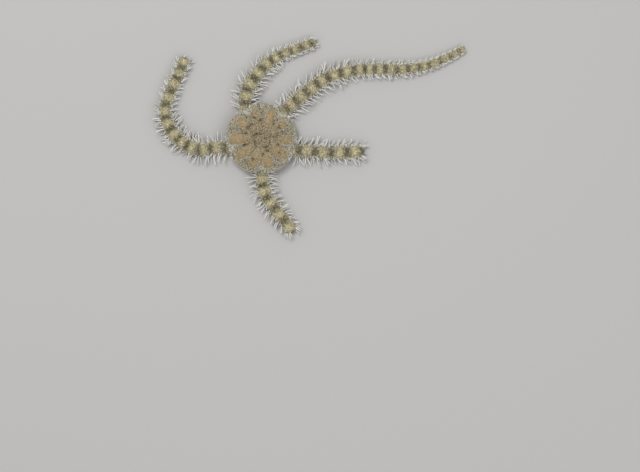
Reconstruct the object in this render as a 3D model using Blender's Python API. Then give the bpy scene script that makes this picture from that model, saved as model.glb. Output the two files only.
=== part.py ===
"""A brittle star lying flat with its mouth down, life size, in metres, +Z up.

The disc is twenty millimetres across. Five arms run out from the mouth under the disc and over the floor
in the bends of a resting animal, and end bluntly where the arm has been shed. Each arm is parted into
lengths of a few plates each, with its spines joined on. The origin is on the floor, under the middle of
the whole star.
"""

import math
import random
from collections import namedtuple

import bmesh
import bpy
import numpy as np
from mathutils import Matrix

MM = 0.001
GAP = 0.3 * MM

# The disc: its middle in the frame, its outline, and the heights that shape it.
DISC_CENTRE = (-13.2 * MM, -0.5 * MM)
DISC_RADIUS = 10.0 * MM
NOTCH_DEPTH = 1.3 * MM
NOTCH_HALF_ANGLE = math.radians(11)
RIM_HEIGHT = 3.2 * MM
DISC_TOP = 6.1 * MM
DISC_BOTTOM = 0.5 * MM
PUFFINESS = 2.6
DISC_SEGMENTS = 50
DISC_RINGS = 10

# The ten radial shields, two beside each arm.
SHIELD_INNER = 2.7 * MM
SHIELD_OUTER = 8.7 * MM
SHIELD_HALF_WIDTH = 1.4 * MM
SHIELD_OFFSET_ANGLE = math.radians(17)
SHIELD_INNER_SHARE = 0.35
SHIELD_RAISED = 0.22 * MM
SHIELD_SUNK = 0.35 * MM

# The mouth: five jaws round an opening, in a chamber under the disc.
CHAMBER_RADIUS = 4.85 * MM
CHAMBER_TOP = 2.3 * MM
JAW_TOP = 2.0 * MM
JAW_BOTTOM = 0.25 * MM
ROOT_HALF_WIDTH = 1.75 * MM
ORAL_SHIELD_RADIUS = 1.0 * MM
PAPILLA_RADIUS = 0.3 * MM

# The arms: where their roots begin and leave the disc, and how wide a plate is in half-widths of the arm.
SECTOR = math.tau / 5
ROOT_START = 4.4 * MM
FREE_START = 9.7 * MM
STATION_PITCH = 1.06
PLATE_CREST = 0.75
PLATE_WAIST = 0.92
ROUNDED_END = (0.55, 0.84)
ARM_SECTION = ((0.50, 0.0), (0.86, 0.17), (1.0, 0.58), (0.88, 1.04), (0.46, 1.40))
GROOVE_SECTION = ((0.50, -0.3), (0.86, -0.3), (1.0, 0.58), (0.88, 1.04), (0.46, 1.40))

# The spines of one side of a plate, lowest first: root across and up in half-widths of the arm,
# rise above level, and share of the full length. On an arm narrower than FULL_SPINE_WIDTH they are shorter,
# by the power SPINE_THINNING of its share of that width.
SPINE_ROWS = (
    (0.93, 0.36, math.radians(3), 0.92),
    (0.98, 0.68, math.radians(22), 1.0),
    (0.88, 1.06, math.radians(44), 0.88),
)
SPINE_LENGTH = 2.9 * MM
FULL_SPINE_WIDTH = 2.0 * MM
SPINE_THINNING = 2.6
SPINE_ROOT_RADIUS = 0.30 * MM
SPINE_TIP_RADIUS = 0.12 * MM
SPINE_SUNK = 0.75 * MM
SPINE_END_SLANT = math.radians(42)
SPINE_WANDER = math.radians(6)
SPINE_SIDES = 4
SEED = 7

# Each arm: the side of the star that it lies on, the bearing of its root, the points that its centre line
# passes after leaving the disc, in millimetres from the disc's centre, its half-width in millimetres at
# shares of the way out, the number of lengths that it is parted into, and the slant of its spines towards its
# end, in degrees, where it leaves the disc.
Arm = namedtuple("Arm", "name bearing route half_widths lengths slant")
ARMS = (
    Arm(
        "arm_bottom",
        270,
        ((0.4, -8.4), (0.3, -11.7), (1.0, -15.2), (3.6, -19.4), (6.4, -23.0), (9.1, -26.3)),
        ((0, 2.1), (0.5, 2.1), (1, 1.95)),
        2,
        6,
    ),
    Arm(
        "arm_right",
        342,
        ((8.9, -3.1), (14.4, -3.6), (20.4, -3.9), (24.9, -3.8), (29.0, -3.6)),
        ((0, 1.95), (0.5, 2.0), (0.7, 2.1), (1, 2.0)),
        2,
        14,
    ),
    Arm(
        "arm_top_right",
        54,
        (
            (6.2, 7.5), (9.5, 10.4), (14.2, 14.3), (19.2, 17.4), (25.4, 19.1),
            (32.4, 19.6), (39.9, 19.6), (46.9, 20.7), (52.7, 23.0), (57.4, 25.5),
        ),
        ((0, 2.0), (0.1, 2.15), (0.25, 2.1), (0.45, 1.85), (0.62, 1.75), (0.82, 1.45), (1, 1.15)),
        5,
        28,
    ),
    Arm(
        "arm_top_left",
        126,
        (
            (-4.6, 8.1), (-4.4, 11.2), (-3.7, 14.2), (-1.5, 17.6),
            (1.6, 21.0), (6.0, 23.8), (10.8, 25.6), (15.5, 27.4),
        ),
        ((0, 1.95), (0.2, 2.2), (0.38, 2.2), (0.55, 1.9), (0.68, 1.6), (1, 1.5)),
        3,
        24,
    ),
    Arm(
        "arm_left",
        198,
        (
            (-8.0, -2.4), (-12.8, -2.6), (-18.1, -2.9), (-22.6, -0.7), (-25.7, 3.0),
            (-27.1, 7.8), (-25.8, 12.6), (-23.6, 17.6), (-21.3, 22.8),
        ),
        ((0, 2.1), (0.15, 2.0), (0.3, 2.2), (0.5, 2.1), (0.62, 1.85), (1, 1.8)),
        4,
        10,
    ),
)


def cleared_scene():
    """Empties the scene and returns the star's collection, the helpers' collection and the star's empty."""
    for obj in list(bpy.data.objects):
        bpy.data.objects.remove(obj)
    star = bpy.data.collections.new("brittle_star")
    helpers = bpy.data.collections.new("helpers")
    for collection in (star, helpers):
        bpy.context.scene.collection.children.link(collection)
    helpers.hide_render = True
    centre = bpy.data.objects.new("star_centre", None)
    centre.location = (*DISC_CENTRE, 0)
    star.objects.link(centre)
    return star, helpers, centre


def finish(name, colour, roughness):
    """A plain material for one kind of tissue."""
    material = bpy.data.materials.new(name)
    material.use_nodes = True
    shader = material.node_tree.nodes["Principled BSDF"]
    shader.inputs["Base Color"].default_value = (*colour, 1)
    shader.inputs["Roughness"].default_value = roughness
    shader.inputs["Metallic"].default_value = 0
    return material


def helper(name, data):
    """An object for a cutter, a section or a loose piece, left out of the star."""
    obj = bpy.data.objects.new(name, data)
    obj.display_type = "WIRE"
    obj.hide_render = True
    HELPERS.objects.link(obj)
    return obj


def node(name, mesh, material):
    """A named part of the star, standing from the disc's centre."""
    mesh.materials.clear()
    mesh.materials.append(material)
    obj = bpy.data.objects.new(name, mesh)
    obj.parent = STAR_CENTRE
    STAR.objects.link(obj)
    return obj


def mesh_of(obj):
    """The object's evaluated mesh in world space, closed where its caps meet, with the object removed."""
    bpy.context.view_layer.update()
    graph = bpy.context.evaluated_depsgraph_get()
    mesh = bpy.data.meshes.new_from_object(obj.evaluated_get(graph))
    mesh.transform(obj.matrix_world)
    shape = bmesh.new()
    shape.from_mesh(mesh)
    bmesh.ops.remove_doubles(shape, verts=shape.verts, dist=0.001 * MM)
    bmesh.ops.recalc_face_normals(shape, faces=shape.faces)
    shape.to_mesh(mesh)
    shape.free()
    bpy.data.objects.remove(obj)
    return mesh


def largest_body(mesh):
    """Keeps only the closed surface with the most faces."""
    shape = bmesh.new()
    shape.from_mesh(mesh)
    left = set(shape.verts)
    bodies = []
    while left:
        front = [left.pop()]
        body = set(front)
        while front:
            for edge in front.pop().link_edges:
                for vert in edge.verts:
                    if vert not in body:
                        body.add(vert)
                        front.append(vert)
        left -= body
        bodies.append(body)
    kept = max(bodies, key=len)
    bmesh.ops.delete(shape, geom=[v for v in shape.verts if v not in kept], context="VERTS")
    shape.to_mesh(mesh)
    shape.free()
    return mesh


def combined(mesh, others, operation):
    """The mesh after one Boolean with a collection of closed meshes, which are then removed."""
    body = helper("body", mesh)
    group = bpy.data.collections.new("pieces")
    HELPERS.children.link(group)
    pieces = [bpy.data.objects.new(f"piece_{i}", other) for i, other in enumerate(others)]
    for piece in pieces:
        group.objects.link(piece)
    boolean = body.modifiers.new("combine", "BOOLEAN")
    boolean.operation = operation
    boolean.operand_type = "COLLECTION"
    boolean.collection = group
    boolean.solver = "MANIFOLD"
    made = mesh_of(body)
    for piece in pieces:
        bpy.data.objects.remove(piece)
    bpy.data.collections.remove(group)
    return largest_body(made)


def smooth_line(knots, samples=600):
    """Cubic Hermite curve through the knots, with each knot's slope taken from its neighbours by chord length."""
    chord = np.concatenate([[0], np.cumsum(np.linalg.norm(np.diff(knots, axis=0), axis=1))])
    slope = np.gradient(knots, chord, axis=0)
    along = np.linspace(0, chord[-1], samples)
    k = np.clip(np.searchsorted(chord, along, "right") - 1, 0, len(knots) - 2)
    span = np.diff(chord)[k][:, None]
    t = (along - chord[k])[:, None] / span
    return (
        (1 + 2 * t) * (1 - t) ** 2 * knots[k]
        + t * (1 - t) ** 2 * span * slope[k]
        + t**2 * (3 - 2 * t) * knots[k + 1]
        + t**2 * (t - 1) * span * slope[k + 1]
    )


class Route:
    """An arm's centre line on the floor, by distance from where its root begins."""

    def __init__(self, arm):
        bearing = math.radians(arm.bearing)
        start = ROOT_START * np.array([math.cos(bearing), math.sin(bearing)])
        self.line = smooth_line(np.vstack([start, np.array(arm.route) * MM]))
        steps = np.linalg.norm(np.diff(self.line, axis=0), axis=1)
        self.distance = np.concatenate([[0], np.cumsum(steps)])
        self.length = self.distance[-1]
        self.free = FREE_START - ROOT_START
        self.shares, self.widths = np.array(arm.half_widths).T
        self.slant = math.radians(arm.slant)

    def place(self, distance):
        """The point on the floor at this distance."""
        return np.array([np.interp(distance, self.distance, self.line[:, i]) for i in (0, 1)])

    def heading(self, distance):
        """The unit vector along the arm at this distance."""
        step = 0.2 * MM
        ahead = self.place(min(distance + step, self.length))
        behind = self.place(max(distance - step, 0))
        return (ahead - behind) / np.linalg.norm(ahead - behind)

    def half_width(self, distance):
        """Half the arm's width: growing from the mouth to the disc's edge, then as the arm's own sizes say."""
        if distance < self.free:
            rim = self.widths[0] * MM
            return ROOT_HALF_WIDTH + (rim - ROOT_HALF_WIDTH) * distance / self.free
        share = (distance - self.free) / (self.length - self.free)
        return np.interp(share, self.shares, self.widths) * MM

    def stations(self):
        """Distances at which the free arm's rows of plates begin, one row being STATION_PITCH half-widths."""
        found = [self.free]
        while found[-1] < self.length - 0.5 * STATION_PITCH * self.half_width(self.length):
            found.append(found[-1] + STATION_PITCH * self.half_width(found[-1]))
        shrink = (self.length - self.free) / (found[-1] - self.free)
        return [self.free + (distance - self.free) * shrink for distance in found]


def section(name, half_outline):
    """A closed flat outline in half-widths of the arm, mirrored from its right half, to sweep along a route."""
    outline = list(half_outline) + [(-x, y) for x, y in reversed(half_outline)]
    data = bpy.data.curves.new(name, "CURVE")
    data.dimensions = "2D"
    spline = data.splines.new("POLY")
    spline.points.add(len(outline) - 1)
    for point, (x, y) in zip(spline.points, outline):
        point.co = (x, y, 0, 1)
    spline.use_cyclic_u = True
    return helper(name, data)


def swept(route, rings, outline):
    """The closed mesh of the outline swept through rings, each a distance and a half-width."""
    data = bpy.data.curves.new("sweep", "CURVE")
    data.dimensions = "3D"
    data.twist_mode = "Z_UP"
    data.bevel_mode = "OBJECT"
    data.bevel_object = outline
    data.use_fill_caps = True
    spline = data.splines.new("POLY")
    spline.points.add(len(rings) - 1)
    for point, (distance, half_width) in zip(spline.points, rings):
        point.co = (*route.place(distance), 0, 1)
        point.radius = half_width
    return mesh_of(helper("sweep", data))


def rod(root, direction, length, root_radius, tip_radius):
    """A spine: a tapered rod of few sides from root along a unit direction, as a closed mesh."""
    shape = bmesh.new()
    bmesh.ops.create_cone(
        shape, cap_ends=True, segments=SPINE_SIDES, radius1=root_radius, radius2=tip_radius, depth=length
    )
    up = np.array([0, 0, 1.0])
    side = np.cross(up, direction)
    side /= np.linalg.norm(side)
    third = np.cross(direction, side)
    middle = root + direction * length / 2
    frame = np.column_stack([side, third, direction, middle])
    bmesh.ops.transform(shape, matrix=Matrix([*frame.tolist(), [0, 0, 0, 1]]), verts=shape.verts)
    mesh = bpy.data.meshes.new("rod")
    shape.to_mesh(mesh)
    shape.free()
    return mesh


def clear_of_disc(points):
    """Whether all the points lie outside the disc's outline, with room for a spine's thickness and the gap."""
    room = SPINE_ROOT_RADIUS + GAP
    return all(math.hypot(x, y) > outline_radius(math.atan2(y, x)) + room for x, y, _ in points)


def plate_spines(route, distance, chance):
    """The spines on both sides of the row of plates at this distance, but none that would meet the disc."""
    along = route.heading(distance)
    half_width = route.half_width(distance)
    share = (distance - route.free) / (route.length - route.free)
    slant = route.slant + (SPINE_END_SLANT - route.slant) * share**3
    full_length = SPINE_LENGTH * min(half_width / FULL_SPINE_WIDTH, 1) ** SPINE_THINNING
    spines = []
    for turn in (1, -1):
        side = turn * np.array([along[1], -along[0]])
        for across, up, rise, reach in SPINE_ROWS:
            lean = slant + chance.uniform(-SPINE_WANDER, SPINE_WANDER)
            lift = rise + chance.uniform(0, SPINE_WANDER)
            level = math.cos(lean) * side + math.sin(lean) * along
            direction = np.array([*(math.cos(lift) * level), math.sin(lift)])
            skin = np.array([*(route.place(distance) + across * half_width * side), up * half_width])
            length = reach * full_length * chance.uniform(0.88, 1.1)
            root = skin - SPINE_SUNK * direction
            if clear_of_disc(skin + share * length * direction for share in (0, 0.5, 1)):
                spines.append(
                    rod(root, direction, length + SPINE_SUNK, SPINE_ROOT_RADIUS, SPINE_TIP_RADIUS)
                )
    return spines


def arm_lengths(arm, route, outline, material, chance):
    """The free arm in its lengths, each a row of crested plates with their spines joined on."""
    stations = route.stations()
    rows = len(stations) - 1
    cuts = [round(i * rows / arm.lengths) for i in range(arm.lengths + 1)]
    for number, (first, last) in enumerate(zip(cuts, cuts[1:]), start=1):
        rings = []
        spines = []
        for row in range(first, last):
            start, end = stations[row], stations[row + 1]
            crest = start + PLATE_CREST * (end - start)
            if row == first:
                start += GAP / 2
            rings.append((start, PLATE_WAIST * route.half_width(start)))
            rings.append((crest, route.half_width(crest)))
            spines += plate_spines(route, (start + crest) / 2, chance)
        width = route.half_width(end)
        if number == arm.lengths:
            rings.append((end - 0.15 * width, ROUNDED_END[1] * width))
            rings.append((end, ROUNDED_END[0] * width))
        else:
            rings.append((end - GAP / 2, PLATE_WAIST * width))
        body = swept(route, rings, outline)
        node(f"{arm.name}_{number}", combined(body, spines, "UNION"), material)


def arm_root(arm, route, outline, material):
    """The part of the arm that runs under the disc, from the jaws to the disc's edge."""
    rows = 5
    end = route.free - GAP / 2
    rings = []
    for row in range(rows):
        start, crest = (end * (row + share) / rows for share in (0, PLATE_CREST))
        rings.append((start, PLATE_WAIST * route.half_width(start)))
        rings.append((crest, route.half_width(crest)))
    rings.append((end, PLATE_WAIST * route.half_width(end)))
    node(f"{arm.name}_root", swept(route, rings, outline), material)


def outline_radius(bearing):
    """The disc's radius towards a bearing: a circle, with a notch where each arm leaves it."""
    radius = DISC_RADIUS
    for arm in ARMS:
        x, y = arm.route[0]
        off = math.remainder(bearing - math.atan2(y, x), math.tau)
        radius -= NOTCH_DEPTH * math.exp(-((off / NOTCH_HALF_ANGLE) ** 2))
    return radius


def disc_height(x, y):
    """The height of the disc's upper skin over a point, from its puffed superellipse."""
    share = min(math.hypot(x, y) / outline_radius(math.atan2(y, x)), 1)
    return RIM_HEIGHT + (DISC_TOP - RIM_HEIGHT) * (1 - share**PUFFINESS) ** (1 / PUFFINESS)


def puffed_disc():
    """The disc before anything is cut: a sphere drawn out to the notched outline and puffed to a superellipse."""
    shape = bmesh.new()
    bmesh.ops.create_uvsphere(shape, u_segments=DISC_SEGMENTS, v_segments=DISC_RINGS, radius=1)
    power = 2 / PUFFINESS
    for vert in shape.verts:
        level = min(math.hypot(vert.co.x, vert.co.y), 1)
        bearing = math.atan2(vert.co.y, vert.co.x)
        radius = outline_radius(bearing) * level**power
        reach = DISC_TOP - RIM_HEIGHT if vert.co.z > 0 else RIM_HEIGHT - DISC_BOTTOM
        height = RIM_HEIGHT + math.copysign(reach * abs(vert.co.z) ** power, vert.co.z)
        vert.co = (radius * math.cos(bearing), radius * math.sin(bearing), height)
    mesh = bpy.data.meshes.new("disc")
    shape.to_mesh(mesh)
    shape.free()
    return mesh


def radial_shield(bearing, side):
    """One radial shield: a flat drop, wide at its outer end, laid on the disc's upper skin beside an arm."""
    shape = bmesh.new()
    bmesh.ops.create_uvsphere(shape, u_segments=12, v_segments=6, radius=1)
    middle = (SHIELD_INNER + SHIELD_OUTER) / 2
    half_length = (SHIELD_OUTER - SHIELD_INNER) / 2
    for vert in shape.verts:
        share = (1 + vert.co.x) / 2
        out = middle + half_length * vert.co.x
        width = SHIELD_HALF_WIDTH * (SHIELD_INNER_SHARE + (1 - SHIELD_INNER_SHARE) * share)
        lean = bearing + side * SHIELD_OFFSET_ANGLE
        x = out * math.cos(lean) - width * vert.co.y * math.sin(lean)
        y = out * math.sin(lean) + width * vert.co.y * math.cos(lean)
        thick = SHIELD_RAISED if vert.co.z > 0 else SHIELD_SUNK
        vert.co = (x, y, disc_height(x, y) + thick * vert.co.z)
    mesh = bpy.data.meshes.new("radial_shield")
    shape.to_mesh(mesh)
    shape.free()
    return mesh


def chamber():
    """The space for the jaws under the disc."""
    shape = bmesh.new()
    depth = CHAMBER_TOP + MM
    bmesh.ops.create_cone(
        shape, cap_ends=True, segments=30, radius1=CHAMBER_RADIUS, radius2=CHAMBER_RADIUS, depth=depth
    )
    bmesh.ops.translate(shape, vec=(0, 0, CHAMBER_TOP - depth / 2), verts=shape.verts)
    mesh = bpy.data.meshes.new("chamber")
    shape.to_mesh(mesh)
    shape.free()
    return mesh


def groove(route, outline):
    """The space that an arm's root takes under the disc, with the gap round it."""
    reach = 0.7 * MM
    stations = np.linspace(reach, route.free + 3 * MM, 9)
    return swept(route, [(s - 2 * reach * (s == reach), route.half_width(s) + GAP) for s in stations], outline)


def disc(routes, outline, material):
    """The disc with its radial shields, hollowed below for the jaws and the arms' roots."""
    shields = [
        radial_shield(math.atan2(*reversed(arm.route[0])), side) for arm in ARMS for side in (1, -1)
    ]
    plated = combined(puffed_disc(), shields, "UNION")
    spaces = [groove(route, outline) for route in routes] + [chamber()]
    node("disc", combined(plated, spaces, "DIFFERENCE"), material)


def jaw_outline():
    """Half of a jaw's outline, out along its own line and across it, from distances along and beside the
    next arm's line: the drop-shaped gap by the mouth, the seam to the next jaw, and the arm's root."""
    beside_arm = (
        (0.75, 0.15), (1.3, 0.42), (2.0, 0.72), (2.5, 0.50), (2.75, 0.15), (4.1, 0.15), (4.1, 1.90),
    )
    half = SECTOR / 2
    return [
        (
            (along * math.cos(half) + beside * math.sin(half)) * MM,
            (along * math.sin(half) - beside * math.cos(half)) * MM,
        )
        for along, beside in beside_arm
    ]


def ball(place, radius, flatten=1.0):
    """A small rounded knob as a closed mesh."""
    shape = bmesh.new()
    bmesh.ops.create_icosphere(shape, subdivisions=1, radius=radius)
    bmesh.ops.scale(shape, vec=(1, 1, flatten), verts=shape.verts)
    bmesh.ops.translate(shape, vec=place, verts=shape.verts)
    mesh = bpy.data.meshes.new("ball")
    shape.to_mesh(mesh)
    shape.free()
    return mesh


def jaw_plate():
    """The jaw's own plate, from an outline filled and drawn down, with its lower edge eased."""
    half = jaw_outline()
    outline = half + [(x, -y) for x, y in reversed(half)]
    data = bpy.data.curves.new("jaw", "CURVE")
    data.dimensions = "2D"
    data.fill_mode = "BOTH"
    data.extrude = (JAW_TOP - JAW_BOTTOM) / 2
    spline = data.splines.new("POLY")
    spline.points.add(len(outline) - 1)
    for point, (x, y) in zip(spline.points, outline):
        point.co = (x, y, 0, 1)
    spline.use_cyclic_u = True
    obj = helper("jaw", data)
    obj.location.z = (JAW_TOP + JAW_BOTTOM) / 2
    return mesh_of(obj)


def jaws(material):
    """Five jaws, each with its oral shield and the papillae at its tip, turned round the mouth."""
    for number in range(5):
        pieces = [ball((3.6 * MM, 0, JAW_BOTTOM + 0.12 * MM), ORAL_SHIELD_RADIUS, 0.35)]
        for out, across in ((0.95, 0.0), (1.35, 0.22), (1.35, -0.22)):
            pieces.append(ball((out * MM, across * MM, JAW_BOTTOM + 0.2 * MM), PAPILLA_RADIUS))
        mesh = combined(jaw_plate(), pieces, "UNION")
        bearing = math.radians(ARMS[0].bearing) + SECTOR * (number + 0.5)
        mesh.transform(Matrix.Rotation(bearing, 4, "Z"))
        node(f"jaw_{number + 1}", mesh, material)


def shaded(collection):
    """Smooth shading with sharp edges kept, on every part of the star."""
    for obj in collection.objects:
        if obj.type == "MESH":
            obj.data.shade_smooth()
            obj.data.set_sharp_from_angle(angle=math.radians(40))


STAR, HELPERS, STAR_CENTRE = cleared_scene()
ARM_FINISH = finish("arm_plates", (0.33, 0.27, 0.15), 0.6)
DISC_FINISH = finish("disc_skin", (0.36, 0.27, 0.17), 0.65)
JAW_FINISH = finish("jaw_plates", (0.68, 0.64, 0.52), 0.5)

arm_section = section("arm_section", ARM_SECTION)
groove_section = section("groove_section", GROOVE_SECTION)
arm_routes = [Route(arm) for arm in ARMS]
spine_chance = random.Random(SEED)
disc(arm_routes, groove_section, DISC_FINISH)
jaws(JAW_FINISH)
for star_arm, arm_route in zip(ARMS, arm_routes):
    arm_root(star_arm, arm_route, arm_section, ARM_FINISH)
    arm_lengths(star_arm, arm_route, arm_section, ARM_FINISH, spine_chance)
shaded(STAR)
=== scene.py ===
import math
from collections import namedtuple

import bpy
import numpy as np
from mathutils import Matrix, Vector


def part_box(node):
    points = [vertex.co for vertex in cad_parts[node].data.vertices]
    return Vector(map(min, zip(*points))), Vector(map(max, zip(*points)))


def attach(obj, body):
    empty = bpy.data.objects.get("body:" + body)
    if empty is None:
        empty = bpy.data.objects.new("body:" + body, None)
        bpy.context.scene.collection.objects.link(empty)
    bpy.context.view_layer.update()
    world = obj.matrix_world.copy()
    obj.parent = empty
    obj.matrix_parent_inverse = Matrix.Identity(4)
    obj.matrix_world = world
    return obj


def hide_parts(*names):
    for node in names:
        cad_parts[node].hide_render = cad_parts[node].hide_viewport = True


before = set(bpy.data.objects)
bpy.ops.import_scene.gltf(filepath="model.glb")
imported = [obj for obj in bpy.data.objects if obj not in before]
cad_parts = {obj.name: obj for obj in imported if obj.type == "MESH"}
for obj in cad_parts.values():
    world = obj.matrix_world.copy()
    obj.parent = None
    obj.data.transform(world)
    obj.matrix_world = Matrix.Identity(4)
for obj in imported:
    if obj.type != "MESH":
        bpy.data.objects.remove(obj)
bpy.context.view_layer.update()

# The table that the star lies on, two soft lamps, and a camera straight above.
# The camera stands far off with a long lens, because the photo shows no slant anywhere, and the star lies
# above and to the left of the picture's middle, as it does there.
MM = 0.001
DISC_MIDDLE = np.array([-13.2, -0.5, 0.0]) * MM
DISC_RADIUS = 10.0 * MM
PICTURE_WIDTH = 180.3 * MM
PICTURE_MIDDLE = DISC_MIDDLE + np.array([16.56, -27.44, 2.5]) * MM
LENS_MM = 200.0
SENSOR_MM = 36.0
TABLE_REACH = 3.0
TABLE_GREY = 0.36
UP = np.array([0, 0, 1.0])


def lamp(name, place, size, power, tint):
    """A square soft lamp that faces the star."""
    data = bpy.data.lights.new(name, "AREA")
    data.size = size
    data.energy = power
    data.color = tint
    obj = bpy.data.objects.new(name, data)
    obj.location = place
    towards = -np.array(place)
    yaw = math.atan2(towards[1], towards[0])
    tilt = math.acos(-towards[2] / np.linalg.norm(towards))
    obj.rotation_euler = (tilt, 0, yaw - math.pi / 2)
    bpy.context.scene.collection.objects.link(obj)


table_mesh = bpy.data.meshes.new("table")
table_corners = [(x * TABLE_REACH, y * TABLE_REACH, 0) for x, y in ((-1, -1), (1, -1), (1, 1), (-1, 1))]
table_mesh.from_pydata(table_corners, [], [(0, 1, 2, 3)])
table = bpy.data.objects.new("table", table_mesh)
table_paint = bpy.data.materials.new("table_paint")
table_paint.use_nodes = True
table_shader = table_paint.node_tree.nodes["Principled BSDF"]
table_shader.inputs["Base Color"].default_value = (TABLE_GREY, TABLE_GREY, TABLE_GREY, 1)
table_shader.inputs["Roughness"].default_value = 0.7
table_mesh.materials.append(table_paint)
bpy.context.scene.collection.objects.link(table)

lamp("window_lamp", (-0.17, 0.20, 0.62), 0.26, 2.7, (1.0, 0.98, 0.94))
lamp("fill_lamp", (0.30, -0.20, 0.55), 0.50, 1.15, (1.0, 1.0, 1.0))
world = bpy.data.worlds.new("studio")
world.use_nodes = True
world.node_tree.nodes["Background"].inputs["Color"].default_value = (0.90, 0.89, 0.88, 1)
world.node_tree.nodes["Background"].inputs["Strength"].default_value = 0.75
bpy.context.scene.world = world
bpy.context.scene.view_settings.view_transform = "Standard"

camera_data = bpy.data.cameras.new("camera")
camera_data.lens = LENS_MM
camera_data.sensor_width = SENSOR_MM
camera = bpy.data.objects.new("camera", camera_data)
camera.location = PICTURE_MIDDLE + np.array([0, 0, PICTURE_WIDTH * LENS_MM / SENSOR_MM])
bpy.context.scene.collection.objects.link(camera)
bpy.context.scene.camera = camera


# The arms' skins. Each is one closed hide from the mouth to the blunt end: a flat sole, full sides with a
# shoulder at every row of plates, and a round back banded in light yellow and dark olive. Each arm has the
# bearing of its root, the points of its route, its half-widths at shares of the way, its number of lengths,
# how far along its light patches lie, how much its spines lean towards its end by the disc, and how many
# more spines stand round the end on each side, in degrees and millimetres.
SECTOR = math.tau / 5
ROOT_START = 4.4 * MM
FREE_START = 9.7 * MM
ROOT_HALF_WIDTH = 1.75 * MM
ROUTE_STEPS = 1200
PLATE_PITCH = 0.35 * MM
PLATE_PITCH_PER_HALF_WIDTH = 0.21
ROWS_PER_PLATE = 9
SKIN_COLUMNS = 56
SHOULDER_AT = 0.76
# The section in half-widths: the height of its middle, the rise of its back over that and the drop of its
# sole under it, and the power that squares its lower half.
SECTION_MIDDLE = 0.58
BACK_RISE = 0.82
SOLE_DROP = 0.52
SOLE_POWER = 0.62
# The blunt end: its length in half-widths, the power of its curve, and its rings as shares of its length.
ROUND_END = 0.62
ROUND_END_POWER = 2.4
ROUND_END_RINGS = (0.8, 0.6, 0.42, 0.28, 0.17, 0.09, 0.04, 0.012)
# The rings that close the root: their fullness, and how far they lie beyond its start in millimetres.
ROOT_CAP = ((0.3, -0.15), (0.75, -0.12), (0.95, -0.05))
# The bands: their contrast where the arm is slimmest, and how light the arm is by the disc.
SLIM_CONTRAST = 0.62
LIGHT_BY_DISC = 0.80

Arm = namedtuple("Arm", "name bearing route half_widths lengths patches lean end_spines")
ARMS = (
    Arm(
        "arm_bottom",
        270,
        ((0.4, -8.4), (0.3, -11.7), (1.0, -15.2), (3.6, -19.4), (6.4, -23.0), (9.1, -26.3)),
        ((0, 2.1), (0.5, 2.1), (1, 1.95)),
        2,
        (7.0, 10.5, 14.2, 18.1, 22.8),
        6,
        5,
    ),
    Arm(
        "arm_right",
        342,
        ((8.9, -3.1), (14.4, -3.6), (20.4, -3.9), (24.9, -3.8), (29.0, -3.6)),
        ((0, 1.95), (0.5, 2.0), (0.7, 2.1), (1, 2.0)),
        2,
        (9.1, 13.5, 18.1, 22.6),
        14,
        4,
    ),
    Arm(
        "arm_top_right",
        54,
        (
            (6.2, 7.5), (9.5, 10.4), (14.2, 14.3), (19.2, 17.4), (25.4, 19.1),
            (32.4, 19.6), (39.9, 19.6), (46.9, 20.7), (52.7, 23.0), (57.4, 25.5),
        ),
        ((0, 2.0), (0.1, 2.15), (0.25, 2.1), (0.45, 1.85), (0.62, 1.75), (0.82, 1.45), (1, 1.15)),
        5,
        (8.5, 12.1, 15.9, 19.5, 23.2, 27.0, 30.7, 33.4, 36.2, 39.5, 42.7, 45.9, 49.0, 52.0, 55.3, 58.3, 60.8),
        28,
        2,
    ),
    Arm(
        "arm_top_left",
        126,
        (
            (-4.6, 8.1), (-4.4, 11.2), (-3.7, 14.2), (-1.5, 17.6),
            (1.6, 21.0), (6.0, 23.8), (10.8, 25.6), (15.5, 27.4),
        ),
        ((0, 1.95), (0.2, 2.2), (0.38, 2.2), (0.55, 1.9), (0.68, 1.6), (1, 1.5)),
        3,
        (8.9, 12.6, 16.5, 20.0, 23.1, 26.0, 29.0, 32.3),
        24,
        3,
    ),
    Arm(
        "arm_left",
        198,
        (
            (-8.0, -2.4), (-12.8, -2.6), (-18.1, -2.9), (-22.6, -0.7), (-25.7, 3.0),
            (-27.1, 7.8), (-25.8, 12.6), (-23.6, 17.6), (-21.3, 22.8),
        ),
        ((0, 2.1), (0.15, 2.0), (0.3, 2.2), (0.5, 2.1), (0.62, 1.85), (1, 1.8)),
        4,
        (8.4, 12.2, 15.6, 18.7, 21.9, 25.5, 29.1, 33.0, 37.1, 40.6, 44.0),
        10,
        0,
    ),
)


def eased(low, high, value):
    """Nought below low, one above high, and a smooth cubic step between."""
    t = np.clip((value - low) / (high - low), 0, 1)
    return t * t * (3 - 2 * t)


def unit(vectors):
    """Vectors of length one the same way."""
    return vectors / np.linalg.norm(vectors, axis=-1, keepdims=True)


def run_along(points):
    """Distance of each point of a line from its first, measured along it."""
    return np.append(0, np.cumsum(np.linalg.norm(np.diff(points, axis=0), axis=1)))


def out_and_aside(bearing):
    """Unit vectors on the table along a bearing, and a quarter turn to its left."""
    cosine, sine = np.cos(bearing), np.sin(bearing)
    return np.stack([cosine, sine, 0 * sine], axis=-1), np.stack([-sine, cosine, 0 * sine], axis=-1)


def on_side(turn, side):
    """A turn round an arm, kept on its right where side is over nought and mirrored to its left elsewhere."""
    return np.where(side > 0, turn, np.pi - turn)


def every(*values):
    """Every combination of the values, as one flat array for each kind."""
    return [part.ravel() for part in np.meshgrid(*values, indexing="ij")]


def marks_of(*marks):
    """The marks of every point, from arrays and single numbers."""
    return np.stack(np.broadcast_arrays(*marks), axis=-1)


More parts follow.
